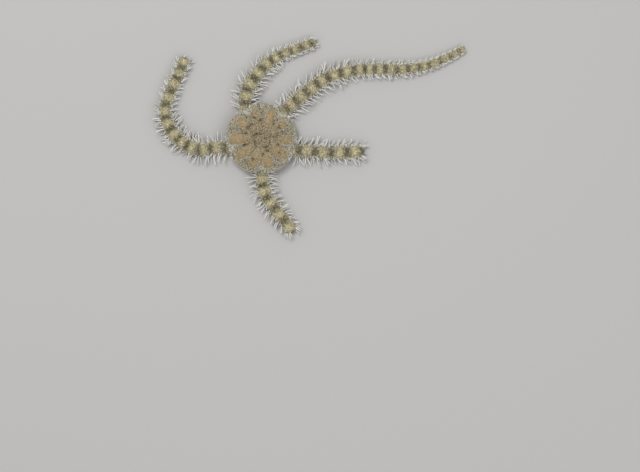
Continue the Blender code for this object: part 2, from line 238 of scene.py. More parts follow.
class Path:
    """An arm's middle line on the table by distance from its root: cubic pieces through the points of its
    route, with each point's slope taken from its neighbours, and the arm's half-width by distance."""

    def __init__(self, arm):
        bearing = math.radians(arm.bearing)
        start = ROOT_START * np.array([math.cos(bearing), math.sin(bearing)])
        knots = np.vstack([start, np.array(arm.route) * MM])
        chord = run_along(knots)
        slope = np.gradient(knots, chord, axis=0)
        along = np.linspace(0, chord[-1], ROUTE_STEPS)
        k = np.clip(np.searchsorted(chord, along, "right") - 1, 0, len(knots) - 2)
        span = np.diff(chord)[k][:, None]
        t = (along - chord[k])[:, None] / span
        line = (
            (1 + 2 * t) * (1 - t) ** 2 * knots[k]
            + t * (1 - t) ** 2 * span * slope[k]
            + t**2 * (3 - 2 * t) * knots[k + 1]
            + t**2 * (t - 1) * span * slope[k + 1]
        )
        self.line = line + DISC_MIDDLE[:2]
        self.distance = run_along(line)
        self.length = self.distance[-1]
        self.free = FREE_START - ROOT_START
        self.shares, self.widths = np.array(arm.half_widths).T
        self.patches = np.array(arm.patches) * MM
        self.borders = self.plate_borders()

    def half_width(self, distance):
        """Half the arm's width: it grows up to the disc's edge, and then follows the arm's own sizes."""
        rim = self.widths[0] * MM
        under = ROOT_HALF_WIDTH + (rim - ROOT_HALF_WIDTH) * np.clip(distance / self.free, 0, 1)
        share = (distance - self.free) / (self.length - self.free)
        return np.where(distance < self.free, under, np.interp(share, self.shares, self.widths) * MM)

    def plate_borders(self):
        """Distances at which the rows of plates begin, the last one being the arm's end."""
        found = [0.0]
        while found[-1] < self.length:
            half_width = float(self.half_width(found[-1]))
            found.append(found[-1] + PLATE_PITCH + PLATE_PITCH_PER_HALF_WIDTH * half_width)
        return np.array(found) * self.length / found[-1]

    def row_and_share(self, distance):
        """Which row of plates a distance falls in, and how far through that row it is."""
        rows = np.interp(distance, self.borders, np.arange(len(self.borders)))
        row = np.clip(np.floor(rows), 0, len(self.borders) - 2)
        return row.astype(int), rows - row

    def frame_at(self, distance):
        """Place on the table, unit vector to the arm's right and unit vector along it, each (N, 3)."""
        def place(at):
            flat = [np.interp(at, self.distance, self.line[:, i]) for i in (0, 1)]
            return np.stack([*flat, np.zeros_like(at)], axis=-1)

        step = 0.25 * MM
        ahead = unit(place(np.minimum(distance + step, self.length)) - place(np.maximum(distance - step, 0)))
        right = np.stack([ahead[..., 1], -ahead[..., 0], np.zeros_like(distance)], axis=-1)
        return place(distance), right, ahead

    def spot(self, distance, turn):
        """A place on the arm's unwrap: the turn across it and the distance up it."""
        return np.stack([(turn / math.tau) % 1, 0.02 + 0.96 * distance / self.length], axis=-1)

    def band(self, distance):
        """One in the middle of a light patch and nought in the middle of a dark one, by a cosine that turns
        once from each patch to the next, and no slower before the first and after the last. It is weaker
        where the arm is slim, and light by the disc."""
        middles = self.patches
        turns = np.interp(distance, middles, np.arange(len(middles)))
        before = np.minimum(distance - middles[0], 0) / (middles[1] - middles[0])
        after = np.maximum(distance - middles[-1], 0) / (middles[-1] - middles[-2])
        contrast = SLIM_CONTRAST + (1 - SLIM_CONTRAST) * eased(1.2 * MM, 1.9 * MM, self.half_width(distance))
        wave = 0.5 + 0.5 * contrast * np.cos(math.tau * (turns + before + after))
        return wave + (LIGHT_BY_DISC - wave) * eased(self.free + 0.9 * MM, self.free - 0.5 * MM, distance)

    def rounding(self, distance):
        """One along the arm, and falling as a round shoulder to nought over its blunt end."""
        short = np.clip((self.length - distance) / (ROUND_END * self.half_width(distance)), 0, 1)
        return np.sqrt(1 - (1 - short) ** ROUND_END_POWER)

    def skin(self, distance, turn, fullness=1.0, beyond=0.0):
        """Points of the hide. Over the middle height the section is half an ellipse, and under it a squarish
        half superellipse that ends in a flat sole. Each row of plates swells to a shoulder three quarters
        along it, most at the sides, and the arm's end is rounded off. turn is 0 at the right side and a
        quarter turn at the top. fullness shrinks the section, and beyond moves it along the arm."""
        half_width = self.half_width(distance)
        place, right, ahead = self.frame_at(distance)
        _, share = self.row_and_share(distance)
        rise = np.sin(0.5 * np.pi * np.clip(share / SHOULDER_AT, 0, 1)) ** 2
        fall = np.cos(0.5 * np.pi * np.clip((share - SHOULDER_AT) / (1 - SHOULDER_AT), 0, 1)) ** 2
        crest = rise * fall
        cosine, sine = np.cos(turn), np.sin(turn)
        fullness = fullness * self.rounding(distance)
        upper = sine >= 0
        power = np.where(upper, 1.0, SOLE_POWER)
        across = np.sign(cosine) * np.abs(cosine) ** power
        level = np.where(upper, BACK_RISE, SOLE_DROP) * np.sign(sine) * np.abs(sine) ** power
        side = np.abs(cosine) ** 1.5
        swell = 0.955 + (0.025 + 0.045 * side) * crest
        across = across * swell * fullness
        lift = SECTION_MIDDLE + level * np.where(upper, 0.95 + 0.05 * crest, 1.0) * fullness
        return (
            place
            + (across * half_width)[..., None] * right
            + (lift * half_width)[..., None] * UP
            + np.asarray(beyond)[..., None] * ahead
        )

    def skin_frame(self, distance, turn):
        """Points of the hide with their outward normals and the unit vectors along the arm."""
        step = 0.02 * MM
        point = self.skin(distance, turn)
        along = self.skin(distance + step, turn) - self.skin(distance - step, turn)
        round_it = self.skin(distance, turn + 0.01) - self.skin(distance, turn - 0.01)
        return point, unit(np.cross(along, round_it)), self.frame_at(distance)[2]


def tube(rows, columns):
    """Faces of a closed skin of rings: quads between the rings and triangles round a point at each end, and
    each corner's place on the unrolled skin, which runs from 0 to 1 both ways. The points are the rings'
    in turn, then the first end's and the last end's."""
    j = np.arange(columns)
    near = (j + 1) % columns
    i = np.arange(rows - 1)[:, None] * columns
    quads = np.stack([i + j, i + near, i + columns + near, i + columns + j], axis=-1).reshape(-1, 4)
    v = (np.arange(rows) + 1) / (rows + 1)
    u = np.stack([j, j + 1, j + 1, j], axis=-1) / columns
    quad_u = np.broadcast_to(u, (rows - 1, columns, 4))
    quad_v = np.stack([v[:-1], v[:-1], v[1:], v[1:]], axis=-1)[:, None, :] + 0 * quad_u
    quad_map = np.stack([quad_u, quad_v], axis=-1).reshape(-1, 4, 2)
    last = (rows - 1) * columns
    first_fan = np.stack([near, j, np.full(columns, rows * columns)], axis=-1)
    last_fan = np.stack([last + j, last + near, np.full(columns, rows * columns + 1)], axis=-1)
    fans = np.concatenate([first_fan, last_fan])
    u_first = np.stack([j + 1, j, j + 0.5], axis=-1) / columns
    u_last = np.stack([j, j + 1, j + 0.5], axis=-1) / columns
    v_first = np.broadcast_to([v[0], v[0], 0], (columns, 3))
    v_last = np.broadcast_to([v[-1], v[-1], 1], (columns, 3))
    fan_map = np.concatenate([np.stack([u_first, v_first], -1), np.stack([u_last, v_last], -1)])
    return [quads, fans], [quad_map, fan_map]


def closed(points, marks, end_marks=None):
    """A grid of rings and its marks as flat lists, with the middles of the first and last rings added as
    ends. An end has its ring's mean marks where none are given."""
    if end_marks is None:
        end_marks = marks[[0, -1]].mean(axis=1)
    ends = points[[0, -1]].mean(axis=1)
    return np.concatenate([points.reshape(-1, 3), ends]), np.concatenate([marks.reshape(-1, 4), end_marks])


def repeated(faces, count, size):
    """Faces for this many copies of a shape of this many points, with the copies' points in turn."""
    step = np.arange(count)[:, None, None] * size
    return [(face[None] + step).reshape(-1, face.shape[1]) for face in faces]


def joined(parts, faces):
    """Parts with the same faces as one piece. A part is its points, marks and places on the bake's map."""
    points, marks, spots = (np.concatenate(part) for part in zip(*parts))
    faces = repeated(faces, len(parts), len(parts[0][0]))
    return points, faces, marks, [spots[face] for face in faces]


def solid(name, points, faces, marks, atlas, finish, slot):
    """An object from points (N, 3), faces in one array for each number of corners, four marks for each point
    that its finish reads, and each corner's place on the bake's map. If the faces enclose a negative volume
    they point inwards, and are turned round."""
    volume = 0.0
    for face in faces:
        for k in range(1, face.shape[1] - 1):
            a, b, c = (points[face[:, n]] for n in (0, k, k + 1))
            volume += np.einsum("ij,ij->", a, np.cross(b, c))
    if volume < 0:
        faces = [face[:, ::-1] for face in faces]
        atlas = [place[:, ::-1] for place in atlas]
    corners = np.concatenate([face.ravel() for face in faces]).astype(np.int32)
    sizes = np.concatenate([np.full(len(face), face.shape[1]) for face in faces]).astype(np.int32)
    mesh = bpy.data.meshes.new(name)
    mesh.vertices.add(len(points))
    mesh.vertices.foreach_set("co", points.astype(np.float32).ravel())
    mesh.loops.add(len(corners))
    mesh.loops.foreach_set("vertex_index", corners)
    mesh.polygons.add(len(sizes))
    mesh.polygons.foreach_set("loop_start", np.concatenate([[0], np.cumsum(sizes)[:-1]]).astype(np.int32))
    mesh.update(calc_edges=True)
    mesh.attributes.new("marks", "FLOAT_COLOR", "POINT").data.foreach_set(
        "color", np.asarray(marks, dtype=np.float32).ravel()
    )
    bake_map = mesh.uv_layers.new(name="OFBake")
    spots = np.concatenate([place.reshape(-1, 2) for place in atlas]).astype(np.float32)
    bake_map.data.foreach_set("uv", spots.ravel())
    mesh.shade_smooth()
    mesh.materials.append(finish)
    obj = bpy.data.objects.new(name, mesh)
    bpy.context.scene.collection.objects.link(obj)
    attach(obj, "root")
    return obj


class Value:
    """A socket of a finish's nodes, so that its maths reads as plain expressions. Each operator adds a Math
    node, and a number may stand on either side."""

    def __init__(self, finish, socket):
        self.finish = finish
        self.socket = socket

    def maths(self, operation, first, second):
        return self.finish.node("ShaderNodeMath", {"operation": operation}, {0: first, 1: second})

    def __add__(self, other):
        return self.maths("ADD", self, other)

    def __sub__(self, other):
        return self.maths("SUBTRACT", self, other)

    def __rsub__(self, other):
        return self.maths("SUBTRACT", other, self)

    def __mul__(self, other):
        return self.maths("MULTIPLY", self, other)

    __radd__ = __add__
    __rmul__ = __mul__


class Finish:
    """A material. node() adds any node, makes its settings, and then gives its sockets values or links."""

    def __init__(self, name, roughness, **fixed):
        self.material = bpy.data.materials.new(name)
        self.material.use_nodes = True
        self.tree = self.material.node_tree
        self.shader = self.tree.nodes["Principled BSDF"]
        self.shader.inputs["Roughness"].default_value = roughness
        for socket, value in fixed.items():
            self.shader.inputs[socket.replace("_", " ")].default_value = value

    def put(self, socket, value):
        """Gives a socket its value: a link from another node, or a number or colour of its own."""
        if isinstance(value, Value):
            self.tree.links.new(value.socket, socket)
        elif isinstance(value, tuple) and len(value) == 3 and socket.type == "RGBA":
            socket.default_value = (*value, 1)
        else:
            socket.default_value = value

    def node(self, kind, settings=None, inputs=None, output=0):
        made = self.tree.nodes.new(kind)
        for key, value in (settings or {}).items():
            setattr(made, key, value)
        for key, value in (inputs or {}).items():
            self.put(made.inputs[key], value)
        return Value(self, made.outputs[output])

    def step(self, low, high, value):
        """Nought below low, one above high, and a smooth step between."""
        ramp = {"interpolation_type": "SMOOTHSTEP"}
        return self.node("ShaderNodeMapRange", ramp, {"Value": value, "From Min": low, "From Max": high})

    def mix(self, factor, first, second):
        """The first colour where the factor is nought, the second where it is one."""
        return self.node("ShaderNodeMix", {"data_type": "RGBA"}, {0: factor, 6: first, 7: second}, 2)

    def noise(self, size, detail=2.0, rough=0.5):
        """Soft noise in the object's own space, about nought to one, with lumps of this size in metres."""
        place = self.node("ShaderNodeTexCoord", output=3)
        inputs = {"Vector": place, "Scale": 1 / size, "Detail": detail, "Roughness": rough}
        return self.node("ShaderNodeTexNoise", inputs=inputs)

    def spots(self, size, reach):
        """Round spots about this far apart: one at each spot's middle, nought at reach times size from it."""
        place = self.node("ShaderNodeTexCoord", output=3)
        cells = self.node("ShaderNodeTexVoronoi", inputs={"Vector": place, "Scale": 1 / size})
        return 1 - self.step(0.3 * reach, reach, cells)

    def marks(self):
        """The four marks of the mesh, as values."""
        read = self.node("ShaderNodeAttribute", {"attribute_name": "marks"})
        parts = self.node("ShaderNodeSeparateColor", inputs={"Color": read})
        others = [Value(self, parts.socket.node.outputs[i]) for i in (1, 2)]
        return [parts, *others, Value(self, read.socket.node.outputs["Alpha"])]

    def paint(self, colour, bump, height):
        """Links the base colour and a bump of this height in metres, and gives the material."""
        self.put(self.shader.inputs["Base Color"], colour)
        normal = self.node("ShaderNodeBump", inputs={"Distance": height, "Height": bump})
        self.put(self.shader.inputs["Normal"], normal)
        return self.material


def arm_hide_finish():
    """Marks: light band, top of the arm, painted shade in the groove between rows, and how near its end the
    arm is.
    """
    finish = Finish("arm_hide", 0.6, Specular_IOR_Level=0.2)
    band, top, groove_shade, end = finish.marks()
    mottle = finish.noise(0.9 * MM, 3.0)
    grain = finish.noise(0.16 * MM, 2.0)
    light = finish.step(0.25, 0.95, band + 0.8 * (mottle - 0.5))
    back = finish.mix(light, (0.110, 0.101, 0.068), (0.26, 0.234, 0.148))
    back = finish.mix(finish.step(0.56, 0.76, grain) * 0.6, back, (0.050, 0.044, 0.028))
    sole = finish.mix(finish.step(0.4, 0.75, mottle), (0.60, 0.55, 0.36), (0.68, 0.62, 0.47))
    skin = finish.mix(finish.step(0.35, 0.6, top), sole, back)
    # Painted shade: the hide darkens towards a dull olive in the grooves between rows of plates.
    skin = finish.mix(groove_shade * 0.4, skin, (0.16, 0.135, 0.085))
    skin = finish.mix(finish.step(0.1, 0.9, end) * 0.8, skin, (0.30, 0.245, 0.155))
    return finish.paint(skin, grain, 0.04 * MM)


arm_hide = arm_hide_finish()
paths = {arm.name: Path(arm) for arm in ARMS}
for arm in ARMS:
    path = paths[arm.name]
    plates = len(path.borders) - 1
    shares = np.arange(ROWS_PER_PLATE) / ROWS_PER_PLATE
    rows = (np.arange(plates)[:, None] + shares).ravel()
    along = np.interp(rows, np.arange(plates + 1), path.borders)
    round_end = ROUND_END * path.half_width(path.length)
    end_rows = path.length - round_end * np.array(ROUND_END_RINGS)
    along = np.append(along[along < end_rows[0] - 0.02 * MM], end_rows)
    cap_fullness, cap_beyond = np.array(ROOT_CAP).T
    fullness = np.append(cap_fullness, np.ones(len(along)))
    beyond = np.append(cap_beyond * MM, np.zeros(len(along)))
    along = np.append(np.zeros(len(ROOT_CAP)), along)
    is_end = eased(0.95, 0.15, (path.length - along) / round_end)
    turn = np.linspace(0, math.tau, SKIN_COLUMNS, endpoint=False)
    grid_along, grid_turn = np.meshgrid(along, turn, indexing="ij")
    points = path.skin(grid_along, grid_turn, fullness[:, None], beyond[:, None])
    _, share = path.row_and_share(grid_along)
    # The painted shade's mask, strongest in the groove between two rows of plates.
    groove_shade = 1 - eased(0.0, 0.16, np.minimum(share, 1 - share) + 0.02)
    top = 0.5 + 0.5 * np.sin(grid_turn)
    marks = marks_of(path.band(grid_along), top, groove_shade, is_end[:, None])
    points, marks = closed(points, marks, [[0.5, 0.5, 0, 0], [0.5, 0.5, 0, 1]])
    faces, atlas = tube(len(along), SKIN_COLUMNS)
    hide = solid(f"{arm.name}_hide", points, faces, marks, atlas, arm_hide, "arm_plates")
    lengths = [f"{arm.name}_{number + 1}" for number in range(arm.lengths)]
    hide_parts(f"{arm.name}_root", *lengths)


# The scales on the arms' backs and the plates on their soles. Each is a small calcite pebble set in the hide:
# fine domed scales over the back and round the blunt end, each with its own tone, whitish knobs over the
# spines' roots, and underneath one row of broad pale plates with a small oval scale on either side of each.
SCALE_PITCH = 0.27 * MM
SCALE_RADIUS = 0.168 * MM
SCALE_HEIGHT = 0.25
# Rows of pebbles lie this share of their pitch apart, as in a triangular grid.
ROW_SPACING = 0.87
# How far the scales reach round the arm in half-widths, and how much farther round its blunt end.
SCALE_SPREAD = 2.3
END_SPREAD = 3.2
# The mean radius of the arm's back in half-widths, and how near the arm's very end a scale may sit.
BACK_RADIUS = 0.88
END_MARGIN = 0.003 * MM
KNOB_RADIUS = 0.165 * MM
KNOB_HEIGHT = 0.8
# How far up the side a knob sits, in degrees, how many of the rows have it, and its share of the full radius.
KNOBS = ((2, 0.55, 0.9), (18, 0.97, 1.30), (32, 0.60, 0.95), (44, 0.30, 0.8))
# The plates of one row underneath. Each has its distance aside in half-widths of the arm, its half-length in
# lengths of the row, its half-width and depth in half-widths of the arm, and its turn in radians.
SOLE_ROW = ((0.0, 0.43, 0.40, 0.055, 0.0), (0.60, 0.33, 0.13, 0.05, 0.35), (-0.60, 0.33, 0.13, 0.05, -0.35))
SOLE_HEIGHT = 0.06
# The reach of a small shape's patch on the bake's map, of a sole plate's and of a mouth plate's.
PATCH = 0.003
SOLE_PATCH = 0.012
MOUTH_PATCH = 0.03


def pebble(columns, rings, squareness=2.0):
    """A closed dome of radius one on its flat back: rings of (radius, height) and a point at each end. The
    rings are superellipses of this power. Also gives each point's place on a patch of the bake's map, one
    across."""
    spin = np.arange(columns) * math.tau / columns
    cosine, sine = np.cos(spin), np.sin(spin)
    size = (np.abs(cosine) ** squareness + np.abs(sine) ** squareness) ** (-1 / squareness)
    outline = np.stack([size * cosine, size * sine], axis=-1)
    rings = np.array(rings)
    flat = rings[:, :1, None] * outline
    level = np.broadcast_to(rings[:, 1:, None], (len(rings), columns, 1))
    points = np.concatenate([flat, level], axis=-1).reshape(-1, 3)
    points = np.concatenate([points, [[0, 0, rings[0, 1]], [0, 0, 1]]])
    faces, _ = tube(len(rings), columns)
    return points, faces, 0.5 * points[:, :2]


def copies(shape, places, axes, spots, patch=PATCH):
    """A shape's points, faces and bake places at many places. axes (N, 3, 3) has the shape's x, y and z as
    its rows, with their sizes, and spots (N, 2) has each copy's place on the unrolled skin."""
    points, faces, flat = shape
    placed = places[:, None, :] + np.einsum("vk,nkd->nvd", points, axes)
    faces = repeated(faces, len(places), len(points))
    on_map = (spots[:, None, :] + patch * flat[None]).reshape(-1, 2)
    return placed.reshape(-1, 3), faces, [on_map[face] for face in faces]


def set_in(normal, ahead, size, height):
    """Axes of pebbles set in a skin: forward, sideways and outwards, each as long as the pebble's size, but
    outwards only this share of it."""
    size = size[:, None]
    side = unit(np.cross(normal, ahead))
    return np.stack([np.cross(side, normal) * size, side * size, normal * height * size], axis=1)


def scale_finish():
    """Marks: light band, how far round from the middle of the back, the scale's own tone, and the sole. A
    tone over one is a knob's."""
    finish = Finish("arm_scales", 0.5, Specular_IOR_Level=0.15)
    band, aside, tone, sole = finish.marks()
    mottle = finish.noise(0.95 * MM, 3.0, 0.6)
    fleck = finish.noise(0.40 * MM, 2.0, 0.6)
    blotch = finish.noise(0.62 * MM, 2.0, 0.55)
    grain = finish.noise(0.07 * MM, 2.0)
    ragged = 1.2 * (mottle - 0.5) + 1.3 * (fleck - 0.5)
    round_off = aside * aside
    light = finish.step(-0.10, 0.60, band - 0.30 * round_off + ragged)
    core = finish.step(0.58, 1.20, band - 0.9 * round_off + ragged)
    dark = finish.step(0.46, 1.00, 1 - band - 0.75 * round_off - ragged)
    back = finish.mix(light, (0.190, 0.178, 0.122), (0.330, 0.298, 0.184))
    back = finish.mix(core, back, (0.57, 0.508, 0.318))
    back = finish.mix(dark * 0.92, back, (0.054, 0.044, 0.025))
    back = finish.mix(finish.step(0.52, 0.66, blotch) * 0.45, back, (0.050, 0.045, 0.028))
    back = finish.mix(finish.step(0.44, 0.32, blotch) * 0.35, back, (0.46, 0.41, 0.255))
    back = finish.mix(finish.step(0.66, 0.90, tone) * (0.26 + 0.22 * light), back, (0.52, 0.475, 0.315))
    back = finish.mix(finish.step(0.32, 0.14, tone) * 0.60, back, (0.030, 0.027, 0.017))
    specks = finish.spots(0.34 * MM, 0.30)
    back = finish.mix(specks * (0.30 + 0.55 * dark), back, (0.016, 0.015, 0.011))
    side = finish.mix(finish.step(0.35, 0.75, tone), (0.200, 0.194, 0.150), (0.48, 0.47, 0.39))
    margin = finish.step(0.50, 0.80, aside + 0.3 * (fleck - 0.5))
    back = finish.mix(margin * 0.85, back, side)
    back = finish.mix(finish.step(1.1, 1.2, tone), back, (0.68, 0.67, 0.60))
    plate = finish.mix(finish.step(0.3, 0.7, mottle), (0.72, 0.70, 0.63), (0.74, 0.64, 0.55))
    colour = finish.mix(sole, back, plate)
    return finish.paint(colour, grain, 0.02 * MM)


scale_shape = pebble(6, ((1.0, -0.5), (0.80, 0.70)))
plate_shape = pebble(16, ((0.9, -0.6), (1.0, 0.0), (0.94, 0.55), (0.70, 0.88)), 4.0)
arm_scales = scale_finish()
for arm in ARMS:
    path = paths[arm.name]
    chance = np.random.default_rng(len(arm.name) * 11 + arm.lengths)
    fine = np.linspace(path.free - 1.7 * MM, path.length - END_MARGIN, 6000)
    run = run_along(path.skin(fine, np.full(len(fine), np.pi / 2)))
    rows = np.interp(np.arange(0, run[-1], SCALE_PITCH * ROW_SPACING), run, fine)
    places = []
    for number, distance in enumerate(rows):
        rounding = path.rounding(distance)
        half_width = path.half_width(distance) * rounding
        spread = SCALE_SPREAD + END_SPREAD * eased(0.97, 0.80, rounding)
        count = max(int(spread * half_width / SCALE_PITCH), 1)
        step = SCALE_PITCH / (BACK_RADIUS * half_width)
        turns = np.pi / 2 + (np.arange(count) - (count - 1) / 2 + 0.5 * (number % 2)) * step
        turns += chance.uniform(-0.25, 0.25, count) * step
        row = distance + chance.uniform(-0.25, 0.25, count) * SCALE_PITCH * rounding**6
        places.append(np.stack([np.clip(row, 0, path.length - END_MARGIN), turns], axis=-1))
    distance, turn = np.concatenate(places).T
    point, normal, ahead = path.skin_frame(distance, turn)
    tone = chance.uniform(0, 1, len(point))
    radius = SCALE_RADIUS * chance.uniform(0.75, 1.15, len(point)) * np.where(tone < 0.2, 0.75, 1.0)
    axes = set_in(normal, ahead, radius, SCALE_HEIGHT)

    # The knobs: a few up each side of every row of plates.
    crests = 0.35 * path.borders[:-1] + 0.65 * path.borders[1:]
    crests = crests[(crests > path.free - 1.2 * MM) & (crests < path.length - 0.5 * MM)]
    knob_at, knob_row, side = every(crests, np.arange(len(KNOBS)), (1, -1))
    knob_turn, many, girth = np.array(KNOBS)[knob_row].T
    grown = chance.uniform(0, 1, len(knob_at)) < many
    knob_at, knob_turn, side, girth = knob_at[grown], knob_turn[grown], side[grown], girth[grown]
    knob_at = knob_at + chance.uniform(-0.12, 0.12, len(knob_at)) * MM
    knob_turn = on_side(np.radians(knob_turn + chance.uniform(-5, 5, len(knob_at))), side)
    knob_point, knob_normal, knob_ahead = path.skin_frame(knob_at, knob_turn)
    knob_radius = KNOB_RADIUS * girth * chance.uniform(0.8, 1.1, len(knob_at))
    knob_axes = set_in(knob_normal, knob_ahead, knob_radius, KNOB_HEIGHT)
    point = np.concatenate([point, knob_point])
    axes = np.concatenate([axes, knob_axes])
    distance = np.append(distance, knob_at)
    turn = np.append(turn, knob_turn)
    tone = np.append(tone, chance.uniform(1.0, 1.4, len(knob_at)))
    points, faces, atlas = copies(scale_shape, point, axes, path.spot(distance, turn))
    marks = marks_of(path.band(distance), np.abs(np.cos(turn)), tone, 0)
    marks = np.repeat(marks, len(scale_shape[0]), axis=0)
    solid(f"{arm.name}_scales", points, faces, marks, atlas, arm_scales, "arm_plates")

    # The broad plate under every row, and the oval scales on either side of it.
    middles = 0.5 * (path.borders[1:] + path.borders[:-1])
    whole = middles < path.length - ROUND_END * path.half_width(path.length)
    middles = middles[whole]
    pitch = np.diff(path.borders)[whole][:, None]
    half_width = path.half_width(middles)[:, None]
    place, right, ahead = path.frame_at(middles)
    sole_parts = []
    for aside, length, width, depth, turned in SOLE_ROW:
        spot = place + aside * half_width * right + SOLE_HEIGHT * half_width * UP
        way = math.cos(turned) * ahead + math.sin(turned) * right
        cross = math.cos(turned) * right - math.sin(turned) * ahead
        axes = [way * (length * pitch), cross * (width * half_width), -UP * (depth * half_width)]
        on_map = path.spot(middles, np.full(len(middles), math.tau * (0.75 + 0.1 * aside)))
        sole_parts.append((spot, np.stack(axes, axis=1), on_map))
    spot, axes, on_map = (np.concatenate(part) for part in zip(*sole_parts))
    points, faces, atlas = copies(plate_shape, spot, axes, on_map, SOLE_PATCH)
    tone = np.repeat(chance.uniform(0, 1, len(spot)), len(plate_shape[0]))
    marks = marks_of(0.5, 0, tone, 1)
    solid(f"{arm.name}_sole_plates", points, faces, marks, atlas, arm_scales, "arm_plates")


# The arm spines, thin glassy rods of calcite. They stand in fans on both shoulders of the arm, one fan to a
# side of every row of plates: long ones out over the table, and short ones above and below. The fans of two
# or three rows lean together into a tuft, and a few more spines stand round the blunt end. Each place in a
# fan has how far up the side it is rooted and how steeply its spine rises, in degrees, the spine's share of
# the full length, and the share of the fans that have it.
SPINE_FAN = (
    (-14, -4, 0.68, 0.34),
    (3, 6, 1.00, 0.68),
    (18, 19, 0.96, 0.52),
    (33, 34, 0.55, 0.36),
)
# How many times more of the spines are there where the arm is slim.
SLIM_CROWDING = 1.2
SPINE_LENGTH = 2.9 * MM
SPINE_THINNING = 2.6
# The tufts along an arm: how far apart they are, how strongly they draw the roots together, and how much the
# spines in them lean towards their middles, in degrees.
TUFT_PITCH = 1.9 * MM
TUFT_PULL = 0.45
TUFT_LEAN = 20.0
FULL_SPINE_WIDTH = 2.0 * MM
SPINE_RADIUS = 0.172 * MM
SPINE_SUNK = 0.25 * MM
# How much the spines lean towards the arm's end there and how much more at the very end, and how widely the
# leans of whole fans and of single spines spread, all in degrees.
SPINE_END_LEAN = 50.0
LAST_LEAN = 45.0
FAN_LEAN_SPREAD = 9.0
LEAN_SPREAD = 8.0
SPINE_SHORTENING = 0.4
SPINE_SIDES = 6
# The rings of a rod: share of its length, and share of its radius there.
SPINE_RINGS = ((0.0, 1.0), (0.12, 1.05), (0.45, 0.94), (0.80, 0.76), (0.965, 0.50))
ROD_REACH = np.append(np.repeat([share for share, _ in SPINE_RINGS], SPINE_SIDES), [0.0, 1.0])


def rods(roots, directions, lengths, radii, bends):
    """Tapered rods with blunt points. A point at share t is root + t * length * direction, moved aside by the
    bend times t squared, with the ring there at its share of the radius."""
    t = np.array([share for share, _ in SPINE_RINGS])
    girth = np.array([size for _, size in SPINE_RINGS])
    sideways = unit(np.cross(directions, UP))
    upward = np.cross(sideways, directions)
    spin = np.arange(SPINE_SIDES) * math.tau / SPINE_SIDES
    ring = np.cos(spin)[:, None] * sideways[:, None, :] + np.sin(spin)[:, None] * upward[:, None, :]
    reach = np.append(t, [0.0, 1.0])
    middles = (
        roots[:, None, :]
        + (reach * lengths[:, None])[..., None] * directions[:, None, :]
        + (reach**2)[:, None] * bends[:, None, :]
    )
    rings = middles[:, : len(t), None, :] + (radii[:, None] * girth)[:, :, None, None] * ring[:, None]
    points = np.concatenate([rings.reshape(len(roots), -1, 3), middles[:, len(t):]], axis=1)
    faces, _ = tube(len(t), SPINE_SIDES)
    return points.reshape(-1, 3), repeated(faces, len(roots), points.shape[1])


def rod_atlas(faces, spots):
    """A patch of the bake's map for each rod, at its root's place, with the rod's length across the patch."""
    along = np.repeat([share for share, _ in SPINE_RINGS], SPINE_SIDES)
    around = np.tile(np.arange(SPINE_SIDES) / SPINE_SIDES, len(SPINE_RINGS))
    flat = np.concatenate([np.stack([along, around], -1), [[0, 0.5], [1, 0.5]]]) - 0.5
    on_map = (spots[:, None, :] + PATCH * flat[None]).reshape(-1, 2)
    return [on_map[face] for face in faces]


def spine_finish():
    """Marks: share of the spine's length, its own tone, the light band at its root, and unused."""
    finish = Finish("spine_glass", 0.3, Transmission_Weight=0.12, IOR=1.45)
    reach, tone, band, _ = finish.marks()
    streak = finish.noise(0.25 * MM, 2.0)
    clear = finish.mix(tone, (0.45, 0.45, 0.435), (0.70, 0.70, 0.68))
    clear = finish.mix(finish.step(0.5, 0.75, streak) * 0.5, clear, (0.80, 0.80, 0.78))
    root = finish.mix(band, (0.33, 0.32, 0.26), (0.50, 0.48, 0.39))
    colour = finish.mix(finish.step(0.0, 0.30, reach), root, clear)
    return finish.paint(colour, streak, 0.01 * MM)


